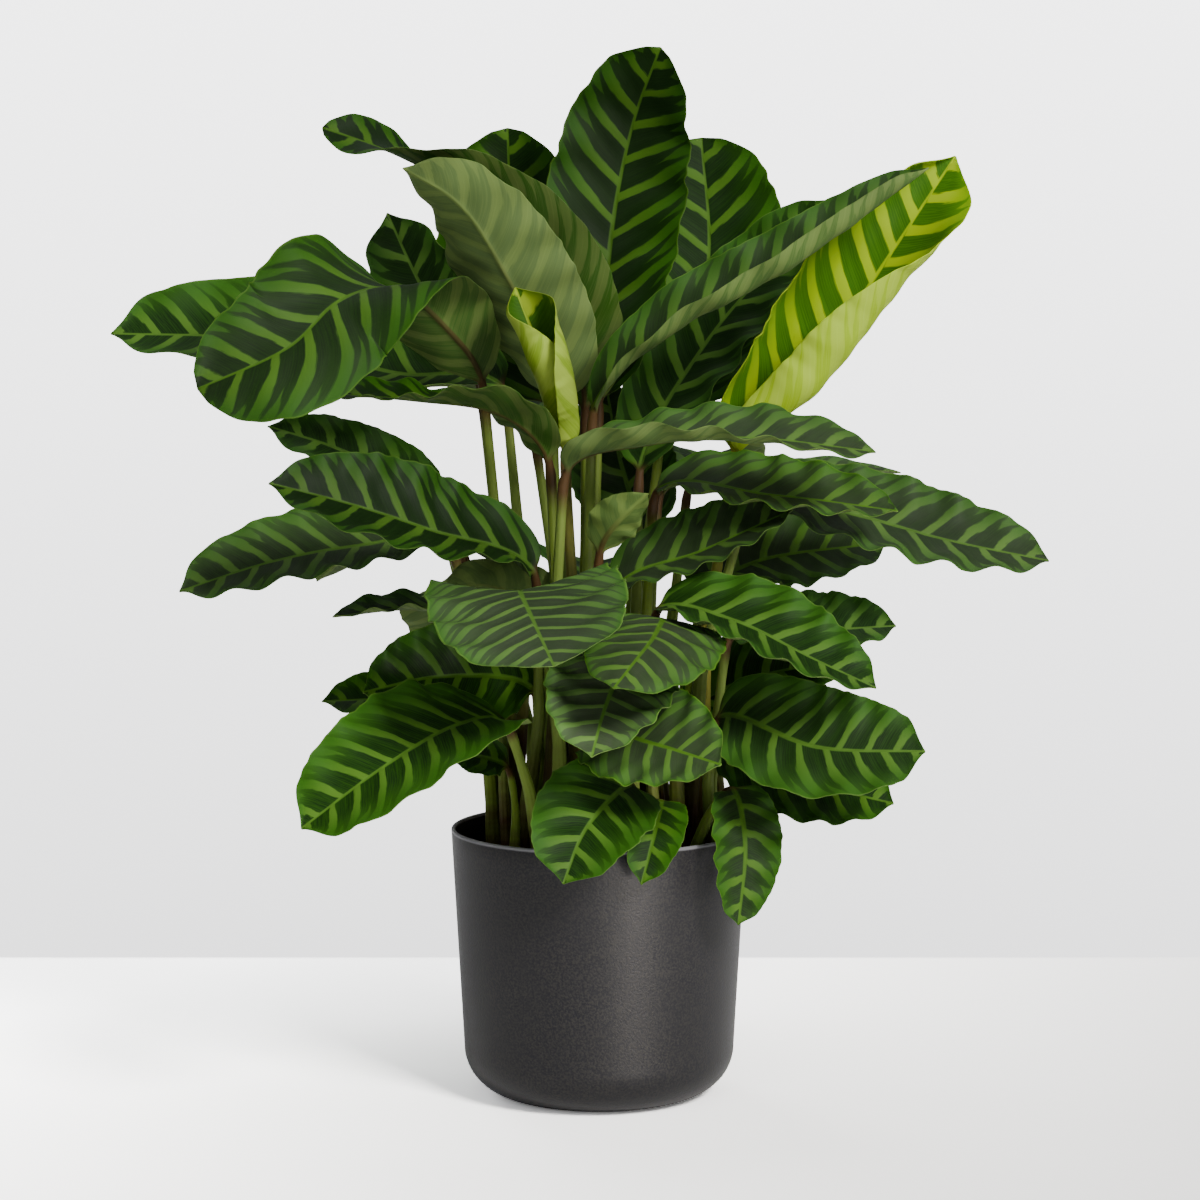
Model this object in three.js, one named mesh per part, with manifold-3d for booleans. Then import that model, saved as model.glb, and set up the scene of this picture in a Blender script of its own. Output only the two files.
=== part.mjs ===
// A potted calathea in a round anthracite pot. Millimetres, +Z up. The origin is the centre
// of the pot's flat base, and the plant's best side looks towards -Y.
import * as THREE from "three";
import { mergeVertices } from "three/addons/utils/BufferGeometryUtils.js";
import Module from "manifold-3d";

// ---- Driving dimensions ----

const POT_HEIGHT = 200;
const RIM_RADIUS = 110; // outside, at the lip
const TAPER = Math.tan(THREE.MathUtils.degToRad(3.2)); // how much the wall narrows on its way down
const WALL = 3;
const FOOT_RADIUS = 63; // the flat disc that the pot stands on
const FLOOR = 5; // thickness of the pot's floor
const ROUND_SIDES = 36; // sides of the pot and of the soil
const GAP = 0.3; // between pieces that touch

const SOIL_DEPTH_BELOW_RIM = 22; // at the wall
const SOIL_CROWN = 5; // how much higher the soil lies in the middle
const HOLE_DEPTH = 18; // how deep a stem stands in the soil
const HOLE_SIDES = 6;

const SHEATH_RADIUS = 5; // the thick lower part of a stem, at the soil
const SHEATH_TOP_RADIUS = 3.2;
const SHEATH_SHARE = 0.5; // how far up the stem the sheath reaches
const STEM_RADIUS = 3; // where the blade starts
const COLLAR = 3; // how far above the soil a stem goes straight up
const BLADE_THICKNESS = 0.9;
const RIB_DEPTH = 1.6; // how far the midrib stands out below, at the leaf's base
const WAVES = 6; // waves along each edge of a leaf
const FULLNESS = 0.5; // lower makes a leaf's outline broader and blunter
const WIDEST_AT = 0.9; // under 1 moves a leaf's widest place towards its base
const TIP_WIDTH = 1; // half width of the very tip

const GREEN = { color: 0x2f5a1c, roughness: 0.55, metalness: 0 };
const YOUNG_GREEN = { color: 0xa3bd4b, roughness: 0.5, metalness: 0 };
const ANTHRACITE = { color: 0x45464c, roughness: 0.45, metalness: 0.15 };
const PEAT = { color: 0x2a1d16, roughness: 1, metalness: 0 };

// ---- The leaves ----
// root: where the stem stands in the soil [x, y]
// way: the blade's base, the points that its midrib passes, and its tip
// face: the way the leaf's upper side looks at each point of its way
// half: half of the blade's full width
// fold: angle of each half at the midrib, in radians, upwards
// curl: how far each half, left and right of the midrib, curls up from there to its edge, in radians
// wave: height of the waves along the edge
// opening: how much less the left and right halves curl at the tip than at the base, as shares
// late: 1 opens evenly along the leaf, and higher numbers open only near the tip
// full, widest, waves: the leaf's own fullness, widest place and number of waves
// thin: makes the stem thinner
const LEAVES = [
  {
    name: "tall_centre",
    root: [-10, 20],
    way: [[0, 35, 515], [10, 70, 645], [25, 60, 720], [45, 20, 775]],
    face: [[-0.1, -1, 0.1], [-0.05, -1, 0.15], [-0.05, -1, 0.1], [0, -1, 0.3]],
    half: 54, fold: 0.1, curl: [0.3, 0.3], wave: 2.5, full: 0.4, widest: 1.1, 
  },
  {
    name: "back_upper_left",
    root: [-34, 58],
    way: [[-35, 80, 510], [-65, 135, 620], [-70, 115, 720]],
    face: [[-0.2, -1, 0.2], [-0.2, -1, 0.1], [-0.1, -1, 0.1]],
    half: 62, fold: 0.12, curl: [0.3, 0.3], wave: 2.5, full: 0.35, 
  },
  {
    name: "back_upper_right",
    root: [16, 40],
    way: [[50, 110, 505], [85, 165, 615], [80, 180, 715]],
    face: [[0, -1, 0.2], [0, -1, 0.15], [0, -1, 0.1]],
    half: 65, fold: 0.12, curl: [0.3, 0.3], wave: 2.5, full: 0.3, 
  },
  {
    name: "upper_left_lean",
    root: [-30, 6],
    way: [[-25, -5, 515], [-65, -35, 605], [-100, -55, 660], [-140, -60, 685]],
    face: [[0.35, 0.9, 0.2], [0.35, 0.9, 0.35], [0.4, 0.75, 0.5], [0.3, 0.6, 0.8]],
    half: 48, fold: 0.12, curl: [0.3, 0.3], wave: 2.5, 
  },
  {
    name: "twisted_upper",
    root: [-14, -1],
    way: [[-10, 10, 510], [-20, 5, 570], [-50, -5, 630], [-100, -15, 670], [-145, -20, 695], [-200, -25, 715]],
    face: [[0.3, 0.95, 0.15], [0.35, 0.9, 0.2], [0.35, 0.8, 0.6], [0.3, 0.6, 0.75], [0.1, -0.1, 1], [0, -0.95, 0.3]],
    half: 44, fold: 0.12, curl: [0.3, 0.3], wave: 2, full: 0.45, widest: 0.8, 
  },
  {
    name: "rolled_new",
    root: [-14, -14],
    way: [[-25, -25, 480], [-40, -45, 545], [-60, -55, 600]],
    face: [[0.1, -1, 0.2], [0.1, -1, 0.3], [0, -1, 0.3]],
    half: 52, fold: 0.1, curl: [4.6, 3.4], wave: 0.5, waves: 4, opening: [0.8, 0.8], late: 3, young: true, full: 0.4, 
  },
  {
    name: "upper_left_small",
    root: [-64, 46],
    way: [[-90, 80, 525], [-135, 90, 600], [-160, 80, 655]],
    face: [[-0.3, -0.9, 0.3], [-0.3, -0.9, 0.3], [-0.3, -0.9, 0.3]],
    half: 37, fold: 0.12, curl: [0.3, 0.3], wave: 2, waves: 4, full: 0.35, 
  },
  {
    name: "big_left",
    root: [-66, 2],
    way: [[-85, -10, 530], [-110, -35, 570], [-145, -65, 600], [-185, -100, 590], [-215, -120, 560], [-280, -130, 530]],
    face: [[-0.45, 0.75, 0.35], [-0.4, 0.7, 0.5], [-0.1, 0.1, 1], [0.1, -0.7, 0.7], [0, -0.85, 0.5], [-0.1, -0.85, 0.5]],
    half: 56, fold: 0.12, curl: [-0.5, 0.8], wave: 2.5, full: 0.36, widest: 1.3, 
  },
  {
    name: "far_left",
    root: [-66, 22],
    way: [[-70, 30, 525], [-150, 40, 535], [-255, 50, 560], [-365, 45, 565]],
    face: [[0, -0.6, 0.8], [0, -0.65, 0.75], [0, -0.7, 0.7], [0, -0.8, 0.6]],
    half: 57, fold: 0.12, curl: [0.8, 0.3], wave: 2.5, full: 0.4, 
  },
  {
    name: "left_edge_on",
    root: [-38, -26],
    way: [[-35, -60, 475], [-70, -70, 510], [-130, -75, 520], [-195, -80, 525]],
    face: [[0.3, 0.55, 0.75], [0.3, 0.4, 0.85], [0, -0.1, 1], [0, -0.35, 0.95]],
    half: 36, fold: 0.12, curl: [0.25, 0.3], wave: 3, 
  },
  {
    name: "long_diagonal",
    root: [4, -12],
    way: [[-5, -45, 510], [45, -60, 565], [135, -65, 615], [235, -60, 685]],
    face: [[-0.5, -0.6, 0.6], [-0.5, -0.6, 0.6], [-0.5, -0.6, 0.6], [-0.4, -0.5, 0.7]],
    half: 34, fold: 0.2, curl: [0.3, 0.9], wave: 3, opening: [-1.5, -1.5], late: 0.7, 
  },
  {
    name: "young_right",
    root: [74, 6],
    way: [[100, 25, 475], [155, 20, 535], [205, 10, 610], [260, -5, 695]],
    face: [[-0.36, -0.9, 0.2], [-0.36, -0.9, 0.2], [-0.36, -0.9, 0.2], [-0.3, -0.9, 0.2]],
    half: 78, fold: 0.05, curl: [2.05, 3.5], wave: 1, opening: [0, 1], late: 2.2, young: true, full: 0.5, 
  },
  {
    name: "dark_upper_right",
    root: [36, 16],
    way: [[30, 60, 460], [80, 85, 555], [130, 90, 615], [175, 85, 665]],
    face: [[-0.5, -0.75, 0.4], [-0.5, -0.75, 0.45], [-0.5, -0.75, 0.45], [-0.4, -0.75, 0.5]],
    half: 46, fold: 0.12, curl: [0.3, 0.3], wave: 3, 
  },
  {
    name: "back_centre",
    root: [0, 56],
    way: [[30, 140, 405], [15, 150, 470], [5, 155, 525]],
    face: [[0, -1, 0.2], [0, -1, 0.2], [0, -1, 0.1]],
    half: 44, fold: 0.12, curl: [0.3, 0.3], wave: 2, waves: 4, 
  },
  {
    name: "right_upper",
    root: [-22, -38],
    way: [[-25, -90, 470], [30, -105, 490], [105, -110, 495], [195, -110, 485]],
    face: [[-0.2, -0.2, 0.95], [0, -0.25, 0.95], [0, -0.4, 0.93], [0, -0.45, 0.9]],
    half: 39, fold: 0.15, curl: [0.4, 1.5], wave: 3.5, opening: [0.9, 0.9], full: 0.38, 
  },
  {
    name: "right_upper_second",
    root: [48, -6],
    way: [[40, -10, 450], [125, -45, 450], [215, -65, 440]],
    face: [[0, -0.45, 0.9], [0, -0.45, 0.9], [0, -0.5, 0.85]],
    half: 39, fold: 0.15, curl: [0.35, 0.4], wave: 3.5, 
  },
  {
    name: "right_long",
    root: [64, -12],
    way: [[110, -10, 445], [180, -10, 435], [255, -15, 415], [330, -20, 400]],
    face: [[0.1, -0.65, 0.75], [0.15, -0.65, 0.75], [0.15, -0.65, 0.75], [0.2, -0.65, 0.75]],
    half: 43, fold: 0.15, curl: [0.3, 0.3], wave: 4, full: 0.42, 
  },
  {
    name: "right_edge_on",
    root: [52, 40],
    way: [[45, 100, 440], [140, 125, 455], [235, 140, 455]],
    face: [[0, -0.03, 1], [0, -0.03, 1], [0, -0.1, 1]],
    half: 36, fold: 0.12, curl: [0.3, 0.3], wave: 2, waves: 4, 
  },
  {
    name: "right_middle",
    root: [26, -16],
    way: [[10, -45, 380], [75, -50, 410], [140, -50, 440]],
    face: [[-0.3, -0.5, 0.8], [-0.3, -0.5, 0.8], [-0.3, -0.5, 0.8]],
    half: 40, fold: 0.15, curl: [0.35, 0.4], wave: 2.5, 
  },
  {
    name: "right_behind",
    root: [58, 22],
    way: [[80, 30, 365], [115, 70, 390], [220, 85, 405]],
    face: [[-0.2, -0.7, 0.7], [-0.1, -0.7, 0.7], [0, -0.7, 0.7]],
    half: 46, fold: 0.15, curl: [0.3, 0.3], wave: 2.5, 
  },
  {
    name: "small_centre",
    root: [-6, -32],
    way: [[0, -70, 410], [10, -85, 430], [35, -95, 455]],
    face: [[0.1, 0.85, 0.5], [0.1, 0.8, 0.55], [-0.1, 0.7, 0.7]],
    half: 20, fold: 0.15, curl: [0.4, 0.4], wave: 1.2, waves: 4, full: 0.7, 
  },
  {
    name: "left_middle",
    root: [-58, -36],
    way: [[-45, -70, 395], [-120, -110, 430], [-175, -130, 450], [-230, -140, 465]],
    face: [[-0.2, -0.6, 0.75], [-0.2, -0.65, 0.7], [-0.2, -0.7, 0.65], [-0.2, -0.7, 0.65]],
    half: 47, fold: 0.22, curl: [0.45, 0.3], wave: 3, 
  },
  {
    name: "left_long",
    root: [-77, 12],
    way: [[-110, 20, 410], [-175, -5, 410], [-240, -30, 400], [-305, -45, 380]],
    face: [[-0.1, -0.6, 0.8], [-0.1, -0.6, 0.8], [-0.15, -0.65, 0.75], [-0.2, -0.7, 0.7]],
    half: 40, fold: 0.15, curl: [0.35, 0.35], wave: 3.5, full: 0.42, 
  },
  {
    name: "left_behind",
    root: [-76, 32],
    way: [[-120, 50, 435], [-190, 60, 475], [-250, 60, 495]],
    face: [[-0.2, -0.7, 0.65], [-0.2, -0.7, 0.65], [-0.2, -0.7, 0.65]],
    half: 27, fold: 0.12, curl: [0.3, 0.3], wave: 2.5, waves: 4, 
  },
  {
    name: "left_flat",
    root: [-68, -22],
    way: [[-90, -15, 355], [-135, -20, 365], [-195, -30, 360]],
    face: [[0, -0.1, 1], [0, -0.1, 1], [0, -0.15, 1]],
    half: 29, fold: 0.12, curl: [0.3, 0.3], wave: 2.5, waves: 4, 
  },
  {
    name: "left_raised",
    root: [-46, -6],
    way: [[-40, -20, 355], [-80, -45, 385], [-125, -60, 380]],
    face: [[0.2, 0.6, 0.75], [0.1, 0.55, 0.8], [0, 0.2, 1]],
    half: 35, fold: 0.12, curl: [0.35, 0.35], wave: 2.5, waves: 4, 
  },
  {
    name: "front_big",
    root: [-28, -56],
    way: [[-35, -85, 360], [-55, -135, 390], [-45, -195, 375], [-30, -250, 350]],
    face: [[0, 0.6, 0.8], [-0.1, 0.1, 1], [-0.1, -0.55, 0.85], [0, -0.8, 0.6]],
    half: 70, fold: 0.06, curl: [0.2, 0.2], wave: 3.5, full: 0.28, widest: 1.25, 
  },
  {
    name: "front_right_upper",
    root: [58, -34],
    way: [[50, -80, 360], [35, -160, 355], [10, -210, 330]],
    face: [[0.1, -0.5, 0.85], [0, -0.6, 0.8], [-0.1, -0.75, 0.65]],
    half: 50, fold: 0, curl: [-0.2, -0.3], wave: 2.5, 
  },
  {
    name: "front_centre",
    root: [22, -36],
    way: [[25, -80, 340], [5, -145, 310], [-5, -190, 280]],
    face: [[0.1, -0.6, 0.8], [0, -0.7, 0.7], [-0.1, -0.85, 0.5]],
    half: 48, fold: 0.12, curl: [0.3, 0.3], wave: 2.5, 
  },
  {
    name: "front_low",
    root: [-2, -56],
    way: [[-5, -75, 280], [35, -120, 280], [85, -160, 270]],
    face: [[0, -0.8, 0.6], [0.05, -0.85, 0.5], [0.1, -0.85, 0.5]],
    half: 45, fold: 0.12, curl: [0.3, 0.3], wave: 2.5, 
  },
  {
    name: "rim_left",
    root: [14, -56],
    way: [[25, -85, 245], [-10, -135, 220], [-25, -155, 185]],
    face: [[0, -0.8, 0.6], [-0.1, -0.85, 0.5], [-0.1, -1, 0.3]],
    half: 43, fold: 0.1, curl: [0.3, 0.3], wave: 1.5, waves: 4, 
  },
  {
    name: "rim_middle",
    root: [36, -54],
    way: [[45, -65, 230], [40, -110, 215], [30, -130, 180]],
    face: [[0.1, -0.8, 0.6], [0.1, -0.9, 0.4], [0, -1, 0.2]],
    half: 22, fold: 0.1, curl: [0.3, 0.3], wave: 1.2, waves: 4, 
  },
  {
    name: "rim_right",
    root: [66, -56],
    way: [[95, -60, 240], [105, -90, 205], [100, -100, 145]],
    face: [[0.2, -0.8, 0.6], [0.25, -0.9, 0.3], [0.2, -1, 0.1]],
    half: 27, fold: 0.12, curl: [0.35, 0.35], wave: 2, widest: 0.8, 
  },
  {
    name: "rim_right_small",
    root: [82, -44],
    way: [[100, -35, 230], [110, -60, 190], [110, -70, 150]],
    face: [[0.3, -0.7, 0.6], [0.4, -0.9, 0.3], [0.4, -0.9, 0.1]],
    half: 17, fold: 0.12, curl: [0.3, 0.3], wave: 1.5, waves: 4, thin: 0.7, 
  },
  {
    name: "lower_right",
    root: [84, -26],
    way: [[85, -60, 290], [155, -110, 275], [230, -130, 275]],
    face: [[-0.1, -0.85, 0.5], [-0.1, -0.85, 0.5], [0, -0.85, 0.5]],
    half: 45, fold: 0.12, curl: [0.25, 0.3], wave: 2, full: 0.4, 
  },
  {
    name: "lower_right_under",
    root: [90, -6],
    way: [[85, -15, 260], [145, -35, 240], [215, -50, 225]],
    face: [[0, -0.75, 0.65], [0, -0.75, 0.65], [0.1, -0.75, 0.65]],
    half: 42, fold: 0.12, curl: [0.3, 0.3], wave: 2.5, 
  },
  {
    name: "lower_right_behind",
    root: [74, 46],
    way: [[70, 50, 280], [105, 55, 300], [185, 55, 320]],
    face: [[-0.2, -0.75, 0.6], [-0.2, -0.75, 0.6], [-0.1, -0.75, 0.6]],
    half: 40, fold: 0.12, curl: [0.3, 0.3], wave: 2.5, 
  },
  {
    name: "right_low",
    root: [44, -36],
    way: [[40, -75, 370], [95, -100, 365], [150, -120, 340], [195, -130, 320]],
    face: [[0.1, -0.45, 0.85], [0.1, -0.5, 0.85], [0.15, -0.55, 0.8], [0.3, -0.6, 0.7]],
    half: 45, fold: 0.15, curl: [0.3, 0.55], wave: 3, 
  },
  {
    name: "right_low_behind",
    root: [92, 14],
    way: [[95, 10, 340], [150, 5, 345], [220, 0, 350]],
    face: [[0, -0.5, 0.85], [0, -0.5, 0.85], [0, -0.6, 0.8]],
    half: 38, fold: 0.12, curl: [0.3, 0.3], wave: 2.5, 
  },
  {
    name: "lower_left",
    root: [-44, -52],
    way: [[-65, -95, 290], [-100, -140, 295], [-150, -175, 270], [-205, -190, 230]],
    face: [[-0.2, -0.6, 0.75], [-0.3, -0.7, 0.65], [-0.4, -0.75, 0.5], [-0.4, -0.8, 0.4]],
    half: 51, fold: 0.15, curl: [0.3, 0.25], wave: 2, full: 0.42, 
  },
  {
    name: "lower_left_behind",
    root: [-54, -20],
    way: [[-45, -35, 305], [-110, -60, 320], [-170, -75, 310]],
    face: [[-0.1, -0.92, 0.4], [-0.1, -0.92, 0.4], [-0.2, -0.9, 0.4]],
    half: 40, fold: 0.15, curl: [0.3, 0.3], wave: 3, 
  },
  {
    name: "lower_left_far",
    root: [-78, -8],
    way: [[-95, 5, 290], [-150, 0, 295], [-205, -10, 295]],
    face: [[0, -0.55, 0.8], [0, -0.55, 0.8], [0, -0.55, 0.8]],
    half: 28, fold: 0.12, curl: [0.3, 0.3], wave: 2.5, waves: 4, 
  },
  {
    name: "lower_left_small",
    root: [-62, -50],
    way: [[-65, -40, 250], [-90, -50, 260], [-115, -60, 270]],
    face: [[-0.1, -0.8, 0.6], [-0.1, -0.8, 0.6], [-0.1, -0.8, 0.6]],
    half: 18, fold: 0.12, curl: [0.3, 0.3], wave: 0.8, waves: 4, thin: 0.7, 
  },
  {
    name: "back_left_low",
    root: [-44, 78],
    way: [[-70, 120, 330], [-110, 190, 350], [-130, 250, 305]],
    face: [[-0.2, 0.3, 0.9], [-0.3, 0.4, 0.85], [-0.3, 0.6, 0.7]],
    half: 48, fold: 0.12, curl: [0.3, 0.3], wave: 2.5, 
  },
  {
    name: "back_middle",
    root: [-10, 84],
    way: [[-5, 130, 360], [0, 210, 380], [10, 285, 335]],
    face: [[0, 0.2, 1], [0, 0.4, 0.9], [0, 0.7, 0.7]],
    half: 50, fold: 0.12, curl: [0.3, 0.3], wave: 2.5, 
  },
  {
    name: "back_right_low",
    root: [26, 80],
    way: [[50, 120, 295], [75, 190, 310], [95, 255, 265]],
    face: [[0.1, 0.3, 0.9], [0.2, 0.4, 0.85], [0.3, 0.6, 0.7]],
    half: 46, fold: 0.12, curl: [0.3, 0.3], wave: 2.5, 
  },
  {
    name: "back_right",
    root: [58, 70],
    way: [[85, 110, 390], [140, 180, 410], [185, 240, 375]],
    face: [[0.2, 0.2, 0.9], [0.3, 0.3, 0.9], [0.4, 0.5, 0.7]],
    half: 46, fold: 0.12, curl: [0.3, 0.3], wave: 2.5, 
  },
  {
    name: "back_left",
    root: [-70, 62],
    way: [[-105, 100, 400], [-165, 150, 410], [-225, 195, 365]],
    face: [[-0.2, 0.2, 0.9], [-0.3, 0.3, 0.9], [-0.4, 0.5, 0.7]],
    half: 46, fold: 0.12, curl: [0.3, 0.3], wave: 2.5, 
  },
  {
    name: "back_high",
    root: [-14, 66],
    way: [[-50, 118, 485], [-80, 180, 520], [-92, 238, 505]],
    face: [[0, 0.2, 0.95], [-0.1, 0.4, 0.9], [-0.1, 0.7, 0.7]],
    half: 42, fold: 0.12, curl: [0.3, 0.3], wave: 2.5, 
  },
  {
    name: "back_right_high",
    root: [44, 60],
    way: [[70, 178, 440], [92, 232, 464], [112, 285, 434]],
    face: [[0, 0.2, 0.95], [0.1, 0.45, 0.85], [0.2, 0.65, 0.65]],
    half: 42, fold: 0.12, curl: [0.3, 0.3], wave: 2.5, 
  },
];

// ---- Pot and soil ----

const radiusAt = (z) => RIM_RADIUS - (POT_HEIGHT - z) * TAPER;

// A quarter round from the flat bottom at (foot, low) up to the wall that is inset from the outside.
function roundedCorner(foot, low, inset, steps) {
  const points = [];
  const top = low + (radiusAt(low) - inset - foot);
  for (let i = 0; i <= steps; i++) {
    const turn = (i / steps) * (Math.PI / 2);
    const across = radiusAt(top) - inset - foot;
    points.push(new THREE.Vector2(foot + across * Math.sin(turn), top - (top - low) * Math.cos(turn)));
  }
  return points;
}

function turned(profile) {
  const geometry = new THREE.LatheGeometry(profile, ROUND_SIDES);
  geometry.rotateX(Math.PI / 2);
  return closed(geometry);
}

// Only positions, with the vertices that lie on each other merged.
function closed(geometry) {
  geometry.deleteAttribute("normal");
  geometry.deleteAttribute("uv");
  return mergeVertices(geometry, 1e-4);
}

function potGeometry() {
  const lip = WALL / 2;
  const profile = [new THREE.Vector2(0, 0)];
  profile.push(...roundedCorner(FOOT_RADIUS, 0, 0, 4));
  profile.push(new THREE.Vector2(radiusAt(POT_HEIGHT - lip), POT_HEIGHT - lip));
  profile.push(new THREE.Vector2(RIM_RADIUS - lip, POT_HEIGHT));
  profile.push(new THREE.Vector2(RIM_RADIUS - WALL, POT_HEIGHT - lip));
  profile.push(...roundedCorner(FOOT_RADIUS, FLOOR, WALL, 2).reverse());
  profile.push(new THREE.Vector2(0, FLOOR));
  return turned(profile);
}

const soilEdge = POT_HEIGHT - SOIL_DEPTH_BELOW_RIM;
const soilHeightAt = (r) => soilEdge + SOIL_CROWN * (1 - (r / RIM_RADIUS) ** 2);

function soilGeometry() {
  const inset = WALL + GAP;
  const low = FLOOR + GAP;
  const profile = [new THREE.Vector2(0, low)];
  profile.push(...roundedCorner(FOOT_RADIUS, low, inset, 2));
  profile.push(new THREE.Vector2(radiusAt(soilEdge) - inset, soilEdge));
  profile.push(new THREE.Vector2(RIM_RADIUS * 0.6, soilHeightAt(RIM_RADIUS * 0.6)));
  profile.push(new THREE.Vector2(0, soilHeightAt(0)));
  return turned(profile);
}

// ---- Leaves ----

const RING = [-1, -0.5, 0, 0.5, 1]; // places across the blade, from its left edge to its right
const stepsOf = (leaf) => 2 * (leaf.waves ?? WAVES);
const FINE_STEPS = 80; // for measuring a blade's length
const NEARBY = 0.02; // step on the curve for its direction
const toVector = (p) => new THREE.Vector3(...p);

// Half width at s, 0 at the base and 1 at the tip.
function halfWidth(leaf, s) {
  const bow = Math.sin(Math.PI * s ** (leaf.widest ?? WIDEST_AT));
  return Math.max(TIP_WIDTH, leaf.half * Math.max(bow, 0) ** (leaf.full ?? FULLNESS));
}

// A point across the blade: how far out, how far up, and the blade's slope there.
function across(leaf, s, v) {
  const half = v < 0 ? 0 : 1;
  const opening = (leaf.opening ?? [0, 0])[half] * s ** (leaf.late ?? 1);
  const curl = leaf.curl[half] * (1 - opening) || 1e-3;
  const slope = leaf.fold + curl * Math.abs(v);
  const out = (Math.sin(slope) - Math.sin(leaf.fold)) / curl;
  const up = (Math.cos(leaf.fold) - Math.cos(slope)) / curl;
  const width = halfWidth(leaf, s);
  const calm = Math.sin(Math.PI * s) ** 0.5;
  const wave = leaf.wave * calm * Math.abs(v) ** 1.5 * Math.cos(2 * Math.PI * (leaf.waves ?? WAVES) * s);
  const side = Math.sign(v);
  return {
    out: side * (width * out - wave * Math.sin(slope)),
    up: width * up + wave * Math.cos(slope),
    lean: side * slope,
  };
}

function bladeRing(leaf, s, place, up, side) {
  const top = [];
  const bottom = [];
  for (const v of RING) {
    const p = across(leaf, s, v);
    const middle = place.clone().addScaledVector(side, p.out).addScaledVector(up, p.up);
    const normal = up.clone().multiplyScalar(Math.cos(p.lean)).addScaledVector(side, -Math.sin(p.lean));
    const rib = v === 0 ? RIB_DEPTH * (1 - s) : 0;
    top.push(middle.clone().addScaledVector(normal, BLADE_THICKNESS / 2));
    bottom.unshift(middle.clone().addScaledVector(normal, -BLADE_THICKNESS / 2 - rib));
  }
  return [...top, ...bottom];
}

function stemRing(radius, place, up, side) {
  const count = 2 * RING.length;
  return Array.from({ length: count }, (_, i) => {
    const turn = Math.PI * (1 - (i + 0.5) / RING.length);
    return place
      .clone()
      .addScaledVector(side, radius * Math.cos(turn))
      .addScaledVector(up, radius * Math.sin(turn));
  });
}

function leafRings(leaf) {
  const [x, y] = leaf.root;
  const soilTop = soilHeightAt(Math.hypot(x, y));
  const foot = new THREE.Vector3(x, y, soilTop - HOLE_DEPTH + GAP);
  const collar = new THREE.Vector3(x, y, soilTop + COLLAR);
  const points = [foot, collar, ...leaf.way.map(toVector)];
  const curve = new THREE.CatmullRomCurve3(points, false, "centripetal");
  const spans = points.length - 1;
  const baseSpan = 2; // the curve's point where the blade starts
  const at = (u) => curve.getPoint(u / spans);
  const along = (u) => at(Math.min(u + NEARBY, spans)).sub(at(u - NEARBY)).normalize();

  // Lengths along the blade, so that its stations lie evenly.
  const fine = FINE_STEPS;
  const spots = Array.from({ length: fine + 1 }, (_, i) => baseSpan + (i / fine) * (spans - baseSpan));
  const lengths = [0];
  for (let i = 1; i <= fine; i++) {
    lengths.push(lengths[i - 1] + at(spots[i]).distanceTo(at(spots[i - 1])));
  }
  const spotAt = (s) => {
    const wanted = s * lengths[fine];
    let i = 1;
    while (i < fine && lengths[i] < wanted) i++;
    const share = (wanted - lengths[i - 1]) / (lengths[i] - lengths[i - 1]);
    return spots[i - 1] + share * (spots[i] - spots[i - 1]);
  };
  const faceAt = (u) => {
    const i = Math.min(Math.floor(u - baseSpan), leaf.face.length - 2);
    return toVector(leaf.face[i]).lerp(toVector(leaf.face[i + 1]), u - baseSpan - i);
  };

  const rings = [];
  let baseUp;
  const steps = stepsOf(leaf);
  for (let i = 1; i <= steps; i++) {
    const s = i / steps;
    const u = spotAt(s);
    const forward = along(u);
    const up = faceAt(u).projectOnPlane(forward).normalize();
    const side = forward.clone().cross(up);
    rings.push(bladeRing(leaf, s, at(u), up, side));
    baseUp ??= up;
  }
  // The stem, from the blade down to its foot.
  const stemSpots = [baseSpan, 1 + SHEATH_SHARE * (baseSpan - 1)];
  let up = baseUp;
  for (const u of stemSpots) {
    const forward = along(u);
    up = up.clone().projectOnPlane(forward).normalize();
    const radius = u === baseSpan ? STEM_RADIUS : SHEATH_TOP_RADIUS;
    rings.unshift(stemRing((leaf.thin ?? 1) * radius, at(u), up, forward.clone().cross(up)));
  }
  const upright = new THREE.Vector3(0, 0, 1);
  up = up.clone().projectOnPlane(upright).normalize();
  const side = upright.clone().cross(up);
  for (const place of [collar, foot]) {
    rings.unshift(stemRing((leaf.thin ?? 1) * SHEATH_RADIUS, place, up, side));
  }
  return rings;
}

// Joins the rings with triangles that are alike on the upper and the lower side.
function leafGeometry(leaf) {
  const rings = leafRings(leaf);
  const count = 2 * RING.length;
  const half = RING.length - 1;
  const index = [];
  for (let i = 0; i < rings.length - 1; i++) {
    for (let j = 0; j < count; j++) {
      const k = (j + 1) % count;
      const [a, b, c, d] = [i * count + j, i * count + k, (i + 1) * count + k, (i + 1) * count + j];
      const outwards = j % RING.length >= half / 2;
      if (outwards) index.push(a, b, c, a, c, d);
      else index.push(a, b, d, b, c, d);
    }
  }
  const last = (rings.length - 1) * count;
  for (let j = 0; j < half; j++) {
    const [a, b, c, d] = [j, j + 1, count - 2 - j, count - 1 - j];
    index.push(a, c, b, a, d, c);
    index.push(last + a, last + b, last + c, last + a, last + c, last + d);
  }
  const positions = rings.flat().flatMap((p) => p.toArray());
  const geometry = new THREE.BufferGeometry();
  geometry.setAttribute("position", new THREE.Float32BufferAttribute(positions, 3));
  geometry.setIndex(index);
  return geometry;
}

// ---- Holes for the stems ----

const wasm = await Module();
wasm.setup();

function solid(geometry) {
  return new wasm.Manifold(
    new wasm.Mesh({
      numProp: 3,
      vertProperties: new Float32Array(geometry.attributes.position.array),
      triVerts: new Uint32Array(geometry.index.array),
    }),
  );
}

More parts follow.
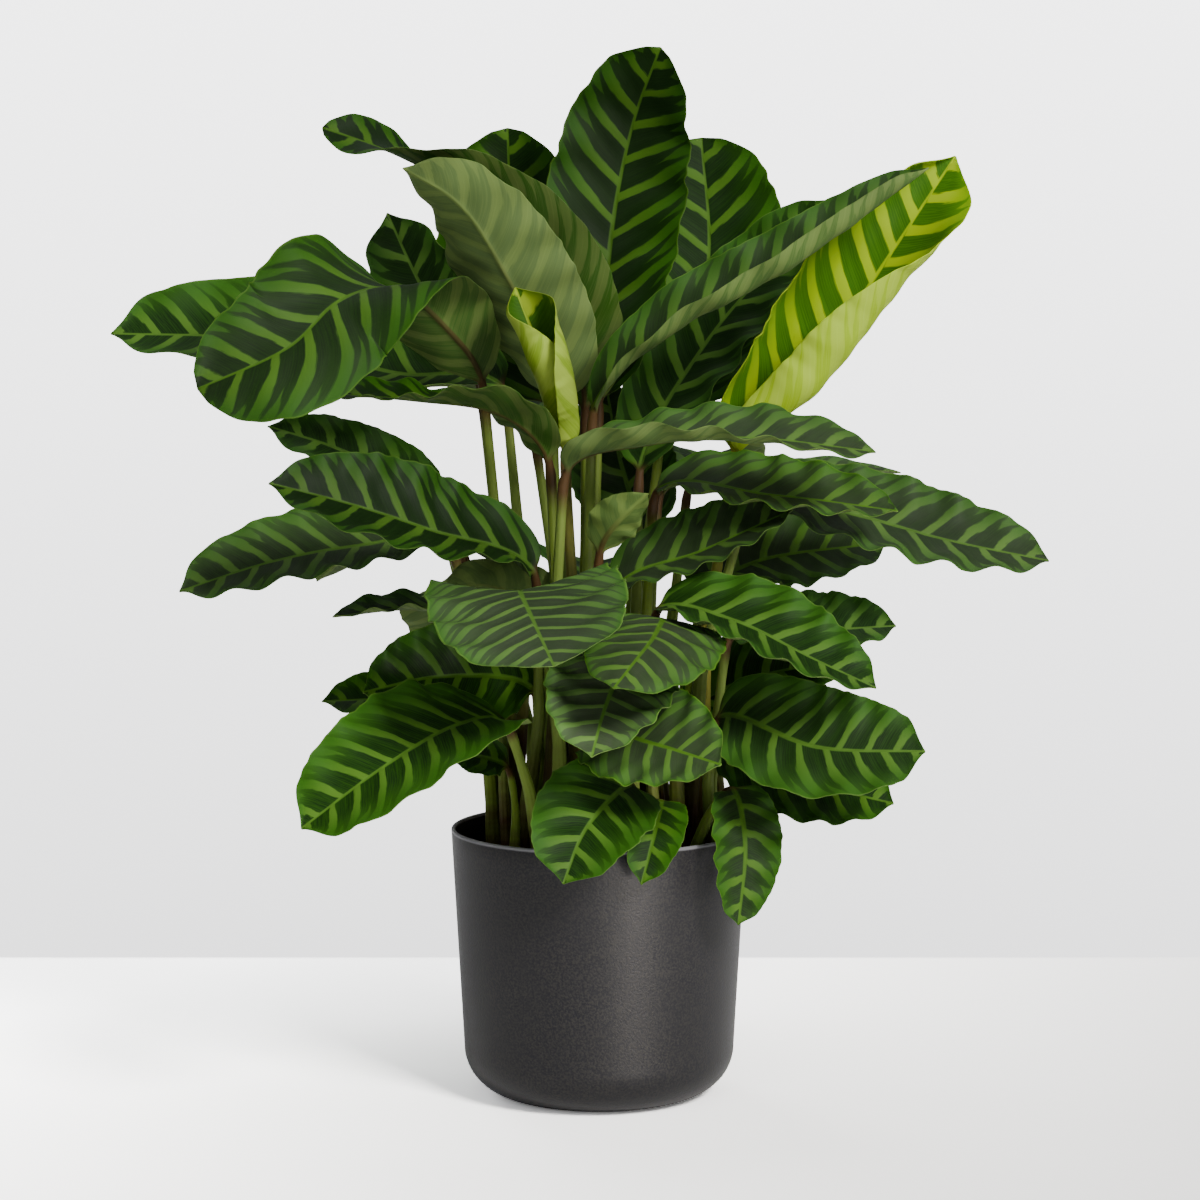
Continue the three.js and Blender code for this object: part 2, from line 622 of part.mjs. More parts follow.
function geometryOf(body) {
  const mesh = body.getMesh();
  const geometry = new THREE.BufferGeometry();
  const places = new Float32Array(mesh.vertProperties);
  geometry.setAttribute("position", new THREE.BufferAttribute(places, 3));
  geometry.setIndex(new THREE.BufferAttribute(new Uint32Array(mesh.triVerts), 1));
  return geometry;
}

function holeGeometry(leaf) {
  const [x, y] = leaf.root;
  const stem = (leaf.thin ?? 1) * SHEATH_RADIUS;
  const radius = (stem + GAP) / Math.cos(Math.PI / HOLE_SIDES);
  const height = HOLE_DEPTH + 10;
  const hole = new THREE.CylinderGeometry(radius, radius, height, HOLE_SIDES);
  hole.rotateX(Math.PI / 2);
  hole.translate(x, y, soilHeightAt(Math.hypot(x, y)) - HOLE_DEPTH + height / 2);
  return closed(hole);
}

function soilWithHoles() {
  let soil = solid(soilGeometry());
  for (const leaf of LEAVES) soil = soil.subtract(solid(holeGeometry(leaf)));
  return geometryOf(soil);
}

// ---- The plant in its pot ----

function piece(name, geometry, finish) {
  geometry.computeVertexNormals();
  const mesh = new THREE.Mesh(geometry, new THREE.MeshStandardMaterial(finish));
  mesh.name = name;
  return mesh;
}

const plant = new THREE.Group();
plant.add(piece("pot", potGeometry(), ANTHRACITE));
plant.add(piece("soil", soilWithHoles(), PEAT));
for (const leaf of LEAVES) {
  plant.add(piece("leaf_" + leaf.name, leafGeometry(leaf), leaf.young ? YOUNG_GREEN : GREEN));
}

export default plant;
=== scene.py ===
# %% [markdown]
# # A potted calathea
# This lesson dresses a plain CAD model of a potted calathea: a round anthracite pot, dark soil and
# a clump of striped, wavy leaves. The solids give every place and size. Here each of them gets a
# finer surface of the same form, and a finish that is worked out from the surface itself.
#
# The work goes: frame, maths of one leaf, all leaves, pot, soil, finishes, floor, light, camera.

# %% The frame
import math
import bpy
import numpy as np
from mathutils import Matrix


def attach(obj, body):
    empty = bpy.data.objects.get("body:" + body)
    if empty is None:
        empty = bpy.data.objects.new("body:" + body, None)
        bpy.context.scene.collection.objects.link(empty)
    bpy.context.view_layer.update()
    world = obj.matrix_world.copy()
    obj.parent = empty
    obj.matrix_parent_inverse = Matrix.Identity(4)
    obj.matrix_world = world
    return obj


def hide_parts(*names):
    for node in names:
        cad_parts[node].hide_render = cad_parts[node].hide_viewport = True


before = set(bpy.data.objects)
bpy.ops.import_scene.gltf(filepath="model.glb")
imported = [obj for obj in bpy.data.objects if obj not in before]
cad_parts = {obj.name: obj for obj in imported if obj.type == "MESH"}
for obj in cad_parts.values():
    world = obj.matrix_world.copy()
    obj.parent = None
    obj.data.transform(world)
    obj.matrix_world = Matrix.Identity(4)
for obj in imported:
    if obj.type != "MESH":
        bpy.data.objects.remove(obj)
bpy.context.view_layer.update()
MM = 0.001
print("solids in the frame:", len(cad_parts))

# %% [markdown]
# ## Shared measures
# These are the measures of the solids, in millimetres. A leaf's stem and blade are drawn from them
# again, so that the finer leaf lies where its solid lies.

# %% Measures of the pot, the soil and the stems
POT_HEIGHT = 200
RIM_RADIUS = 110
TAPER = math.tan(math.radians(3.2))
WALL = 3
FOOT_RADIUS = 63
FLOOR = 5
GAP = 0.3
SOIL_EDGE = POT_HEIGHT - 22
SOIL_CROWN = 5
HOLE_DEPTH = 18
COLLAR = 3
SHEATH_RADIUS, STEM_RADIUS = 5, 3


def soil_height(r):
    """Height of the soil at radius r: the edge's height, plus the crown times one minus (r / rim) squared."""
    return SOIL_EDGE + SOIL_CROWN * (1 - (r / RIM_RADIUS) ** 2)


# %% [markdown]
# ## The leaves
# Every leaf is one grown piece: a stem that stands in the soil and a blade. A row tells where it
# stands, the points that its midrib passes from the blade's base to its tip, the way its upper side
# looks at each of them, half its width, the fold at the midrib, how far its left and right halves
# curl up, and the height of the waves along its edge. The places were read off the photo one leaf
# at a time, and the depths are judged from what covers what.

# %% The rows of the leaves
WAVES = 6
# These leaves end in a rounder tip than the others.
BLUNT = ("front_big", "tall_centre", "back_upper_left", "back_upper_right", "twisted_upper", "big_left")


def leaf(name, root, way, face, half, wave, fold=0.12, curl=(0.3, 0.3), opening=(0, 0), late=1,
         young=False, full=0.5, widest=0.9, thin=1, waves=WAVES):
    """One row: the leaf's own measures, with the usual ones filled in."""
    return dict(name=name, root=root, way=way, face=face, half=half, fold=fold, curl=curl,
                wave=wave, opening=opening, late=late, young=young, full=full, widest=widest,
                thin=thin, waves=waves, point=0.35 if name in BLUNT else 1)


LEAVES = [
    leaf("tall_centre", (-10, 20),
         [(0, 35, 515), (10, 70, 645), (25, 60, 720), (45, 20, 775)],
         [(-0.1, -1, 0.1), (-0.05, -1, 0.15), (-0.05, -1, 0.1), (0, -1, 0.3)],
         half=54, fold=0.1, wave=2.5, full=0.4, widest=1.1),
    leaf("back_upper_left", (-34, 58),
         [(-35, 80, 510), (-65, 135, 620), (-70, 115, 720)],
         [(-0.2, -1, 0.2), (-0.2, -1, 0.1), (-0.1, -1, 0.1)],
         half=62, wave=2.5, full=0.35),
    leaf("back_upper_right", (16, 40),
         [(50, 110, 505), (85, 165, 615), (80, 180, 715)],
         [(0, -1, 0.2), (0, -1, 0.15), (0, -1, 0.1)],
         half=65, wave=2.5, full=0.3),
    leaf("upper_left_lean", (-30, 6),
         [(-25, -5, 515), (-65, -35, 605), (-100, -55, 660), (-140, -60, 685)],
         [(0.35, 0.9, 0.2), (0.35, 0.9, 0.35), (0.4, 0.75, 0.5), (0.3, 0.6, 0.8)],
         half=48, wave=2.5),
    leaf("twisted_upper", (-14, -1),
         [(-10, 10, 510), (-20, 5, 570), (-50, -5, 630), (-100, -15, 670), (-145, -20, 695),
         (-200, -25, 715)],
         [(0.3, 0.95, 0.15), (0.35, 0.9, 0.2), (0.35, 0.8, 0.6), (0.3, 0.6, 0.75), (0.1, -0.1, 1),
         (0, -0.95, 0.3)],
         half=44, wave=2, full=0.45, widest=0.8),
    leaf("rolled_new", (-14, -14),
         [(-25, -25, 480), (-40, -45, 545), (-60, -55, 600)],
         [(0.1, -1, 0.2), (0.1, -1, 0.3), (0, -1, 0.3)],
         half=52, fold=0.1, curl=(4.6, 3.4), wave=0.5, waves=4, opening=[0.8, 0.8], late=3,
         young=True, full=0.4),
    leaf("upper_left_small", (-64, 46),
         [(-90, 80, 525), (-135, 90, 600), (-160, 80, 655)],
         [(-0.3, -0.9, 0.3), (-0.3, -0.9, 0.3), (-0.3, -0.9, 0.3)],
         half=37, wave=2, waves=4, full=0.35),
    leaf("big_left", (-66, 2),
         [(-85, -10, 530), (-110, -35, 570), (-145, -65, 600), (-185, -100, 590), (-215, -120, 560),
         (-280, -130, 530)],
         [(-0.45, 0.75, 0.35), (-0.4, 0.7, 0.5), (-0.1, 0.1, 1), (0.1, -0.7, 0.7), (0, -0.85, 0.5),
         (-0.1, -0.85, 0.5)],
         half=56, curl=(-0.5, 0.8), wave=2.5, full=0.36, widest=1.3),
    leaf("far_left", (-66, 22),
         [(-70, 30, 525), (-150, 40, 535), (-255, 50, 560), (-365, 45, 565)],
         [(0, -0.6, 0.8), (0, -0.65, 0.75), (0, -0.7, 0.7), (0, -0.8, 0.6)],
         half=57, curl=(0.8, 0.3), wave=2.5, full=0.4),
    leaf("left_edge_on", (-38, -26),
         [(-35, -60, 475), (-70, -70, 510), (-130, -75, 520), (-195, -80, 525)],
         [(0.3, 0.55, 0.75), (0.3, 0.4, 0.85), (0, -0.1, 1), (0, -0.35, 0.95)],
         half=36, curl=(0.25, 0.3), wave=3),
    leaf("long_diagonal", (4, -12),
         [(-5, -45, 510), (45, -60, 565), (135, -65, 615), (235, -60, 685)],
         [(-0.5, -0.6, 0.6), (-0.5, -0.6, 0.6), (-0.5, -0.6, 0.6), (-0.4, -0.5, 0.7)],
         half=34, fold=0.2, curl=(0.3, 0.9), wave=3, opening=[-1.5, -1.5], late=0.7),
    leaf("young_right", (74, 6),
         [(100, 25, 475), (155, 20, 535), (205, 10, 610), (260, -5, 695)],
         [(-0.36, -0.9, 0.2), (-0.36, -0.9, 0.2), (-0.36, -0.9, 0.2), (-0.3, -0.9, 0.2)],
         half=78, fold=0.05, curl=(2.05, 3.5), wave=1, opening=[0, 1], late=2.2, young=True, full=0.5),
    leaf("dark_upper_right", (36, 16),
         [(30, 60, 460), (80, 85, 555), (130, 90, 615), (175, 85, 665)],
         [(-0.5, -0.75, 0.4), (-0.5, -0.75, 0.45), (-0.5, -0.75, 0.45), (-0.4, -0.75, 0.5)],
         half=46, wave=3),
    leaf("back_centre", (0, 56),
         [(30, 140, 405), (15, 150, 470), (5, 155, 525)],
         [(0, -1, 0.2), (0, -1, 0.2), (0, -1, 0.1)],
         half=44, wave=2, waves=4),
    leaf("right_upper", (-22, -38),
         [(-25, -90, 470), (30, -105, 490), (105, -110, 495), (195, -110, 485)],
         [(-0.2, -0.2, 0.95), (0, -0.25, 0.95), (0, -0.4, 0.93), (0, -0.45, 0.9)],
         half=39, fold=0.15, curl=(0.4, 1.5), wave=3.5, opening=[0.9, 0.9], full=0.38),
    leaf("right_upper_second", (48, -6),
         [(40, -10, 450), (125, -45, 450), (215, -65, 440)],
         [(0, -0.45, 0.9), (0, -0.45, 0.9), (0, -0.5, 0.85)],
         half=39, fold=0.15, curl=(0.35, 0.4), wave=3.5),
    leaf("right_long", (64, -12),
         [(110, -10, 445), (180, -10, 435), (255, -15, 415), (330, -20, 400)],
         [(0.1, -0.65, 0.75), (0.15, -0.65, 0.75), (0.15, -0.65, 0.75), (0.2, -0.65, 0.75)],
         half=43, fold=0.15, wave=4, full=0.42),
    leaf("right_edge_on", (52, 40),
         [(45, 100, 440), (140, 125, 455), (235, 140, 455)],
         [(0, -0.03, 1), (0, -0.03, 1), (0, -0.1, 1)],
         half=36, wave=2, waves=4),
    leaf("right_middle", (26, -16),
         [(10, -45, 380), (75, -50, 410), (140, -50, 440)],
         [(-0.3, -0.5, 0.8), (-0.3, -0.5, 0.8), (-0.3, -0.5, 0.8)],
         half=40, fold=0.15, curl=(0.35, 0.4), wave=2.5),
    leaf("right_behind", (58, 22),
         [(80, 30, 365), (115, 70, 390), (220, 85, 405)],
         [(-0.2, -0.7, 0.7), (-0.1, -0.7, 0.7), (0, -0.7, 0.7)],
         half=46, fold=0.15, wave=2.5),
    leaf("small_centre", (-6, -32),
         [(0, -70, 410), (10, -85, 430), (35, -95, 455)],
         [(0.1, 0.85, 0.5), (0.1, 0.8, 0.55), (-0.1, 0.7, 0.7)],
         half=20, fold=0.15, curl=(0.4, 0.4), wave=1.2, waves=4, full=0.7),
    leaf("left_middle", (-58, -36),
         [(-45, -70, 395), (-120, -110, 430), (-175, -130, 450), (-230, -140, 465)],
         [(-0.2, -0.6, 0.75), (-0.2, -0.65, 0.7), (-0.2, -0.7, 0.65), (-0.2, -0.7, 0.65)],
         half=47, fold=0.22, curl=(0.45, 0.3), wave=3),
    leaf("left_long", (-77, 12),
         [(-110, 20, 410), (-175, -5, 410), (-240, -30, 400), (-305, -45, 380)],
         [(-0.1, -0.6, 0.8), (-0.1, -0.6, 0.8), (-0.15, -0.65, 0.75), (-0.2, -0.7, 0.7)],
         half=40, fold=0.15, curl=(0.35, 0.35), wave=3.5, full=0.42),
    leaf("left_behind", (-76, 32),
         [(-120, 50, 435), (-190, 60, 475), (-250, 60, 495)],
         [(-0.2, -0.7, 0.65), (-0.2, -0.7, 0.65), (-0.2, -0.7, 0.65)],
         half=27, wave=2.5, waves=4),
    leaf("left_flat", (-68, -22),
         [(-90, -15, 355), (-135, -20, 365), (-195, -30, 360)],
         [(0, -0.1, 1), (0, -0.1, 1), (0, -0.15, 1)],
         half=29, wave=2.5, waves=4),
    leaf("left_raised", (-46, -6),
         [(-40, -20, 355), (-80, -45, 385), (-125, -60, 380)],
         [(0.2, 0.6, 0.75), (0.1, 0.55, 0.8), (0, 0.2, 1)],
         half=35, curl=(0.35, 0.35), wave=2.5, waves=4),
    leaf("front_big", (-28, -56),
         [(-35, -85, 360), (-55, -135, 390), (-45, -195, 375), (-30, -250, 350)],
         [(0, 0.6, 0.8), (-0.1, 0.1, 1), (-0.1, -0.55, 0.85), (0, -0.8, 0.6)],
         half=70, fold=0.06, curl=(0.2, 0.2), wave=3.5, full=0.28, widest=1.25),
    leaf("front_right_upper", (58, -34),
         [(50, -80, 360), (35, -160, 355), (10, -210, 330)],
         [(0.1, -0.5, 0.85), (0, -0.6, 0.8), (-0.1, -0.75, 0.65)],
         half=50, fold=0, curl=(-0.2, -0.3), wave=2.5),
    leaf("front_centre", (22, -36),
         [(25, -80, 340), (5, -145, 310), (-5, -190, 280)],
         [(0.1, -0.6, 0.8), (0, -0.7, 0.7), (-0.1, -0.85, 0.5)],
         half=48, wave=2.5),
    leaf("front_low", (-2, -56),
         [(-5, -75, 280), (35, -120, 280), (85, -160, 270)],
         [(0, -0.8, 0.6), (0.05, -0.85, 0.5), (0.1, -0.85, 0.5)],
         half=45, wave=2.5),
    leaf("rim_left", (14, -56),
         [(25, -85, 245), (-10, -135, 220), (-25, -155, 185)],
         [(0, -0.8, 0.6), (-0.1, -0.85, 0.5), (-0.1, -1, 0.3)],
         half=43, fold=0.1, wave=1.5, waves=4),
    leaf("rim_middle", (36, -54),
         [(45, -65, 230), (40, -110, 215), (30, -130, 180)],
         [(0.1, -0.8, 0.6), (0.1, -0.9, 0.4), (0, -1, 0.2)],
         half=22, fold=0.1, wave=1.2, waves=4),
    leaf("rim_right", (66, -56),
         [(95, -60, 240), (105, -90, 205), (100, -100, 145)],
         [(0.2, -0.8, 0.6), (0.25, -0.9, 0.3), (0.2, -1, 0.1)],
         half=27, curl=(0.35, 0.35), wave=2, widest=0.8),
    leaf("rim_right_small", (82, -44),
         [(100, -35, 230), (110, -60, 190), (110, -70, 150)],
         [(0.3, -0.7, 0.6), (0.4, -0.9, 0.3), (0.4, -0.9, 0.1)],
         half=17, wave=1.5, waves=4, thin=0.7),
    leaf("lower_right", (84, -26),
         [(85, -60, 290), (155, -110, 275), (230, -130, 275)],
         [(-0.1, -0.85, 0.5), (-0.1, -0.85, 0.5), (0, -0.85, 0.5)],
         half=45, curl=(0.25, 0.3), wave=2, full=0.4),
    leaf("lower_right_under", (90, -6),
         [(85, -15, 260), (145, -35, 240), (215, -50, 225)],
         [(0, -0.75, 0.65), (0, -0.75, 0.65), (0.1, -0.75, 0.65)],
         half=42, wave=2.5),
    leaf("lower_right_behind", (74, 46),
         [(70, 50, 280), (105, 55, 300), (185, 55, 320)],
         [(-0.2, -0.75, 0.6), (-0.2, -0.75, 0.6), (-0.1, -0.75, 0.6)],
         half=40, wave=2.5),
    leaf("right_low", (44, -36),
         [(40, -75, 370), (95, -100, 365), (150, -120, 340), (195, -130, 320)],
         [(0.1, -0.45, 0.85), (0.1, -0.5, 0.85), (0.15, -0.55, 0.8), (0.3, -0.6, 0.7)],
         half=45, fold=0.15, curl=(0.3, 0.55), wave=3),
    leaf("right_low_behind", (92, 14),
         [(95, 10, 340), (150, 5, 345), (220, 0, 350)],
         [(0, -0.5, 0.85), (0, -0.5, 0.85), (0, -0.6, 0.8)],
         half=38, wave=2.5),
    leaf("lower_left", (-44, -52),
         [(-65, -95, 290), (-100, -140, 295), (-150, -175, 270), (-205, -190, 230)],
         [(-0.2, -0.6, 0.75), (-0.3, -0.7, 0.65), (-0.4, -0.75, 0.5), (-0.4, -0.8, 0.4)],
         half=51, fold=0.15, curl=(0.3, 0.25), wave=2, full=0.42),
    leaf("lower_left_behind", (-54, -20),
         [(-45, -35, 305), (-110, -60, 320), (-170, -75, 310)],
         [(-0.1, -0.92, 0.4), (-0.1, -0.92, 0.4), (-0.2, -0.9, 0.4)],
         half=40, fold=0.15, wave=3),
    leaf("lower_left_far", (-78, -8),
         [(-95, 5, 290), (-150, 0, 295), (-205, -10, 295)],
         [(0, -0.55, 0.8), (0, -0.55, 0.8), (0, -0.55, 0.8)],
         half=28, wave=2.5, waves=4),
    leaf("lower_left_small", (-62, -50),
         [(-65, -40, 250), (-90, -50, 260), (-115, -60, 270)],
         [(-0.1, -0.8, 0.6), (-0.1, -0.8, 0.6), (-0.1, -0.8, 0.6)],
         half=18, wave=0.8, waves=4, thin=0.7),
    leaf("back_left_low", (-44, 78),
         [(-70, 120, 330), (-110, 190, 350), (-130, 250, 305)],
         [(-0.2, 0.3, 0.9), (-0.3, 0.4, 0.85), (-0.3, 0.6, 0.7)],
         half=48, wave=2.5),
    leaf("back_middle", (-10, 84),
         [(-5, 130, 360), (0, 210, 380), (10, 285, 335)],
         [(0, 0.2, 1), (0, 0.4, 0.9), (0, 0.7, 0.7)],
         half=50, wave=2.5),
    leaf("back_right_low", (26, 80),
         [(50, 120, 295), (75, 190, 310), (95, 255, 265)],
         [(0.1, 0.3, 0.9), (0.2, 0.4, 0.85), (0.3, 0.6, 0.7)],
         half=46, wave=2.5),
    leaf("back_right", (58, 70),
         [(85, 110, 390), (140, 180, 410), (185, 240, 375)],
         [(0.2, 0.2, 0.9), (0.3, 0.3, 0.9), (0.4, 0.5, 0.7)],
         half=46, wave=2.5),
    leaf("back_left", (-70, 62),
         [(-105, 100, 400), (-165, 150, 410), (-225, 195, 365)],
         [(-0.2, 0.2, 0.9), (-0.3, 0.3, 0.9), (-0.4, 0.5, 0.7)],
         half=46, wave=2.5),
    leaf("back_high", (-14, 66),
         [(-50, 118, 485), (-80, 180, 520), (-92, 238, 505)],
         [(0, 0.2, 0.95), (-0.1, 0.4, 0.9), (-0.1, 0.7, 0.7)],
         half=42, wave=2.5),
    leaf("back_right_high", (44, 60),
         [(70, 178, 440), (92, 232, 464), (112, 285, 434)],
         [(0, 0.2, 0.95), (0.1, 0.45, 0.85), (0.2, 0.65, 0.65)],
         half=42, wave=2.5),
]
print("leaves:", len(LEAVES))

# %% [markdown]
# ## The midrib's way
# A leaf's midrib is one smooth curve. A centripetal Catmull-Rom spline passes every given point
# without loops, however unevenly the points lie, so it suits a curve that is drawn by hand.

# %% Spline through the points


def unit(vectors):
    """Each row divided by its length."""
    return vectors / np.linalg.norm(vectors, axis=-1, keepdims=True)


def spans_of(points):
    """Cubic of each span. Its knots lie apart by the square roots of the distances between the points."""
    first, last = 2 * points[0] - points[1], 2 * points[-1] - points[-2]
    p = np.vstack([first, points, last])
    knot = np.linalg.norm(np.diff(p, axis=0), axis=1)[:, None] ** 0.5
    d0, d1, d2 = knot[:-2], knot[1:-1], knot[2:]
    x0, x1, x2, x3 = p[:-3], p[1:-2], p[2:-1], p[3:]
    leave = ((x1 - x0) / d0 - (x2 - x0) / (d0 + d1) + (x2 - x1) / d1) * d1
    arrive = ((x2 - x1) / d1 - (x3 - x1) / (d1 + d2) + (x3 - x2) / d2) * d1
    return np.stack([x1, leave, 3 * (x2 - x1) - 2 * leave - arrive, 2 * (x1 - x2) + leave + arrive], 1)


def place_at(spans, u):
    """Points of the spline at u, which counts the given points from 0."""
    i = np.clip(np.floor(u).astype(int), 0, len(spans) - 1)
    w = (u - i)[:, None]
    c = spans[i]
    return c[:, 0] + w * (c[:, 1] + w * (c[:, 2] + w * c[:, 3]))


# %% [markdown]
# ## Stations along one leaf
# The stem runs straight from the soil to a bend halfway and on to the blade, with rounded bends.
# The blade's stations lie evenly along the midrib. At each station three directions are kept:
# forward along the leaf, up out of its upper side, and across to its right-hand edge.

# %% Stations
BLADE_STATIONS = 112
STEM_STATIONS = 34
BASE = 2  # the spline's point where the blade starts


def rounded(places, step, reach):
    """Places along a line, averaged with a bell of the given reach, which rounds its corners."""
    count = int(4 * reach / step)
    bell = np.exp(-0.5 * (np.arange(-count, count + 1) * step / reach) ** 2)
    bell /= bell.sum()
    start = places[0] + np.arange(-count, 0)[:, None] * (places[1] - places[0])
    end = places[-1] + np.arange(1, count + 1)[:, None] * (places[-1] - places[-2])
    longer = np.vstack([start, places, end])
    return np.stack([np.convolve(longer[:, k], bell, "valid") for k in range(3)], 1)


def stations(row):
    """Places and directions along a leaf: the stem's from its foot, then the blade's up to its tip."""
    x, y = row["root"]
    top = soil_height(math.hypot(x, y))
    points = np.array([(x, y, top - HOLE_DEPTH + GAP), (x, y, top + COLLAR), *row["way"]], float)
    spans = spans_of(points)
    end = len(spans)
    spots = np.linspace(BASE, end, 161)
    line = place_at(spans, spots)
    lengths = np.r_[0, np.cumsum(np.linalg.norm(np.diff(line, axis=0), axis=1))]

    s = np.linspace(0, 1, BLADE_STATIONS + 1)
    u = np.interp(s * lengths[-1], lengths, spots)
    forward = unit(place_at(spans, np.minimum(u + 0.02, end)) - place_at(spans, u - 0.02))
    face = np.array(row["face"], float)
    up = np.stack([np.interp(u - BASE, np.arange(len(face)), face[:, k]) for k in range(3)], 1)
    up = unit(up - (up * forward).sum(1, keepdims=True) * forward)

    # The whole way at an even step, stem and blade, with rounded bends.
    bend = place_at(spans, np.array([1.5]))[0]
    corners = np.array([points[0], points[1], bend, points[2]])
    marks = np.r_[0, np.cumsum(np.linalg.norm(np.diff(corners, axis=0), axis=1))]
    stem_length = marks[-1]
    step = 2.0
    t = np.arange(0, stem_length + lengths[-1], step)
    stem_part = np.stack([np.interp(t, marks, corners[:, k]) for k in range(3)], 1)
    blade_part = np.stack([np.interp(t - stem_length, lengths, line[:, k]) for k in range(3)], 1)
    way = np.where((t < stem_length)[:, None], stem_part, blade_part)
    way = rounded(way, step, 7.0)

    def on_way(at):
        return np.stack([np.interp(at, t, way[:, k]) for k in range(3)], 1)

    stem_at = np.linspace(0, stem_length, STEM_STATIONS + 1)[:-1]
    blade_at = stem_length + s * lengths[-1]
    tip_share = np.clip((s - 0.93) / 0.07, 0, 1)[:, None]
    blade = on_way(blade_at) * (1 - tip_share) + place_at(spans, u) * tip_share
    stem = on_way(stem_at)
    stem_forward = unit(on_way(stem_at + 1) - on_way(np.maximum(stem_at - 1, 0)))

    # The blade's first frame, turned the shortest way on to the stem's directions.
    f, v = forward[0], up[0]
    lean = (stem_forward @ v)[:, None] / (1 + stem_forward @ f)[:, None]
    stem_up = unit(v - (f + stem_forward) * lean)
    return dict(
        s=s, length=lengths[-1], stem_length=stem_length, stem_at=stem_at,
        place=np.vstack([stem, blade]), forward=np.vstack([stem_forward, forward]),
        up=np.vstack([stem_up, up]),
    )


# %% [markdown]
# ## The blade's outline and section
# The outline is a sine bow raised to a power: a low power makes a broad, blunt leaf. Across, each
# half rises at the fold's angle and then bends up along an arc. Real blades also ripple: waves
# along the edge, a shallow trough between each pair of side veins, a groove over the midrib and a
# rib below it.

# %% Places across the blade
half_places = np.r_[0, 0.025, 0.06, np.linspace(0.115, 0.955, 15), 0.985, 1]
V = np.r_[-half_places[:0:-1], half_places]
A = np.abs(V)
THICKNESS = 0.75
CLOSE_VEINS, WIDE_VEINS = 21, 28  # millimetres between the main side veins, on low and on high leaves
OWN_VEINS = dict(front_big=15.5, front_right_upper=18, front_centre=17, front_low=18, rolled_new=44)
print("places across a blade:", len(V))


def half_width(row, s):
    """Half the blade's width: half times sin(pi s^widest) to the power full, drawn in at both ends."""
    bow = np.maximum(np.sin(np.pi * s ** row["widest"]), 0) ** row["full"]
    first, last = 0.5 / row["waves"], 1 - 0.5 / row["waves"]
    at_first = np.sin(np.pi * first ** row["widest"]) ** row["full"]
    at_last = np.sin(np.pi * last ** row["widest"]) ** row["full"]
    straight = np.where(s < first, at_first * s / first, at_last * (1 - s) / (1 - last))
    drawn = np.where(s < first, 0.5, np.clip((s - last) / (1 - last) * 1.6, 0, 1) * row["point"])
    bow = drawn * straight + (1 - drawn) * bow
    return np.maximum(row["half"] * bow, 0.5)


def vein_count(s, rib_mm, length, row):
    """Counts side veins: whole numbers lie on a vein. Low leaves have closer and squarer veins."""
    high = np.clip((row["way"][0][2] - 290) / 190, 0, 1)
    spacing = OWN_VEINS.get(row["name"], CLOSE_VEINS + (WIDE_VEINS - CLOSE_VEINS) * high)
    ahead = rib_mm * (0.48 + 0.22 * high + 0.22 * A**2)
    return (s[:, None] * length - ahead) / spacing + 0.42 * (V > 0)


def section(row, s, length, rng):
    """Out and up of the blade's middle surface, and its slope, at every station and place across."""
    opening = np.where(V < 0, row["opening"][0], row["opening"][1])[None, :] * s[:, None] ** row["late"]
    turn = np.where(V < 0, row["curl"][0], row["curl"][1])[None, :] * (1 - opening)
    turn = np.where(np.abs(turn) < 1e-3, 1e-3, turn)
    slope = row["fold"] + turn * A
    out = (np.sin(slope) - math.sin(row["fold"])) / turn
    rise = (math.cos(row["fold"]) - np.cos(slope)) / turn
    # Small uneven runs of the edge, in and out.
    k = rng.uniform(5, 23, 7)
    ragged = (np.sin(2 * np.pi * (s[:, None] * k + rng.uniform(0, 1, 7))) / k**0.6).sum(1)
    width = half_width(row, s)[:, None] * (1 + 0.024 * ragged[:, None] * A**4)
    calm = np.sin(np.pi * s)[:, None] ** 0.5
    wave = row["wave"] * calm * A**1.5 * np.cos(2 * np.pi * row["waves"] * (s[:, None] - 0.035 * (1 - A)))
    veins = vein_count(s, width * A, length, row)
    trough = min(0.55, row["half"] / 90) * calm * np.sin(np.pi * A**0.8) * np.cos(2 * np.pi * veins)
    k = rng.uniform(1.5, 9, 5)
    swing = rng.uniform(0, 1, 5)
    drift = (np.sin(2 * np.pi * (s[:, None, None] * k + 0.6 * V[None, :, None] + swing)) / k).sum(2)
    height = wave + trough + 0.5 * calm * A**0.7 * drift
    side = np.sign(V)
    return dict(
        out=side * (width * out - height * np.sin(slope)), up=width * rise + height * np.cos(slope),
        lean=side * slope, from_rib=width * A, veins=veins,
    )


# %% [markdown]
# ## One closed leaf
# Rings join into one closed surface: round rings for the stem, flat ones for the blade, and a short
# change from one to the other. Each ring first runs over the upper side, then back along the lower
# side. The stem is thicker below, where older sheaths wrap it, and swells a little just under the
# blade, where the living leaf has the joint that lifts and lowers it.

# %% Rings of a leaf


def stem_radius(row, along, stem_length):
    """Radius by height: a broad sheath that narrows to two thirds up, then the round upper stem."""
    share = along / stem_length
    radius = np.interp(share, [0, 0.3, 0.62, 0.74, 1], [SHEATH_RADIUS * 1.15, 5.2, 4.2, 3.5, STEM_RADIUS])
    swell = 0.7 * np.exp(-(((stem_length - along) - 13) / 8.0) ** 2)
    tall = 1 + 0.14 * np.clip((row["way"][0][2] - 400) / 80, 0, 1) * np.clip(1.6 - share, 0, 1)
    return row["thin"] * tall * (radius + swell)


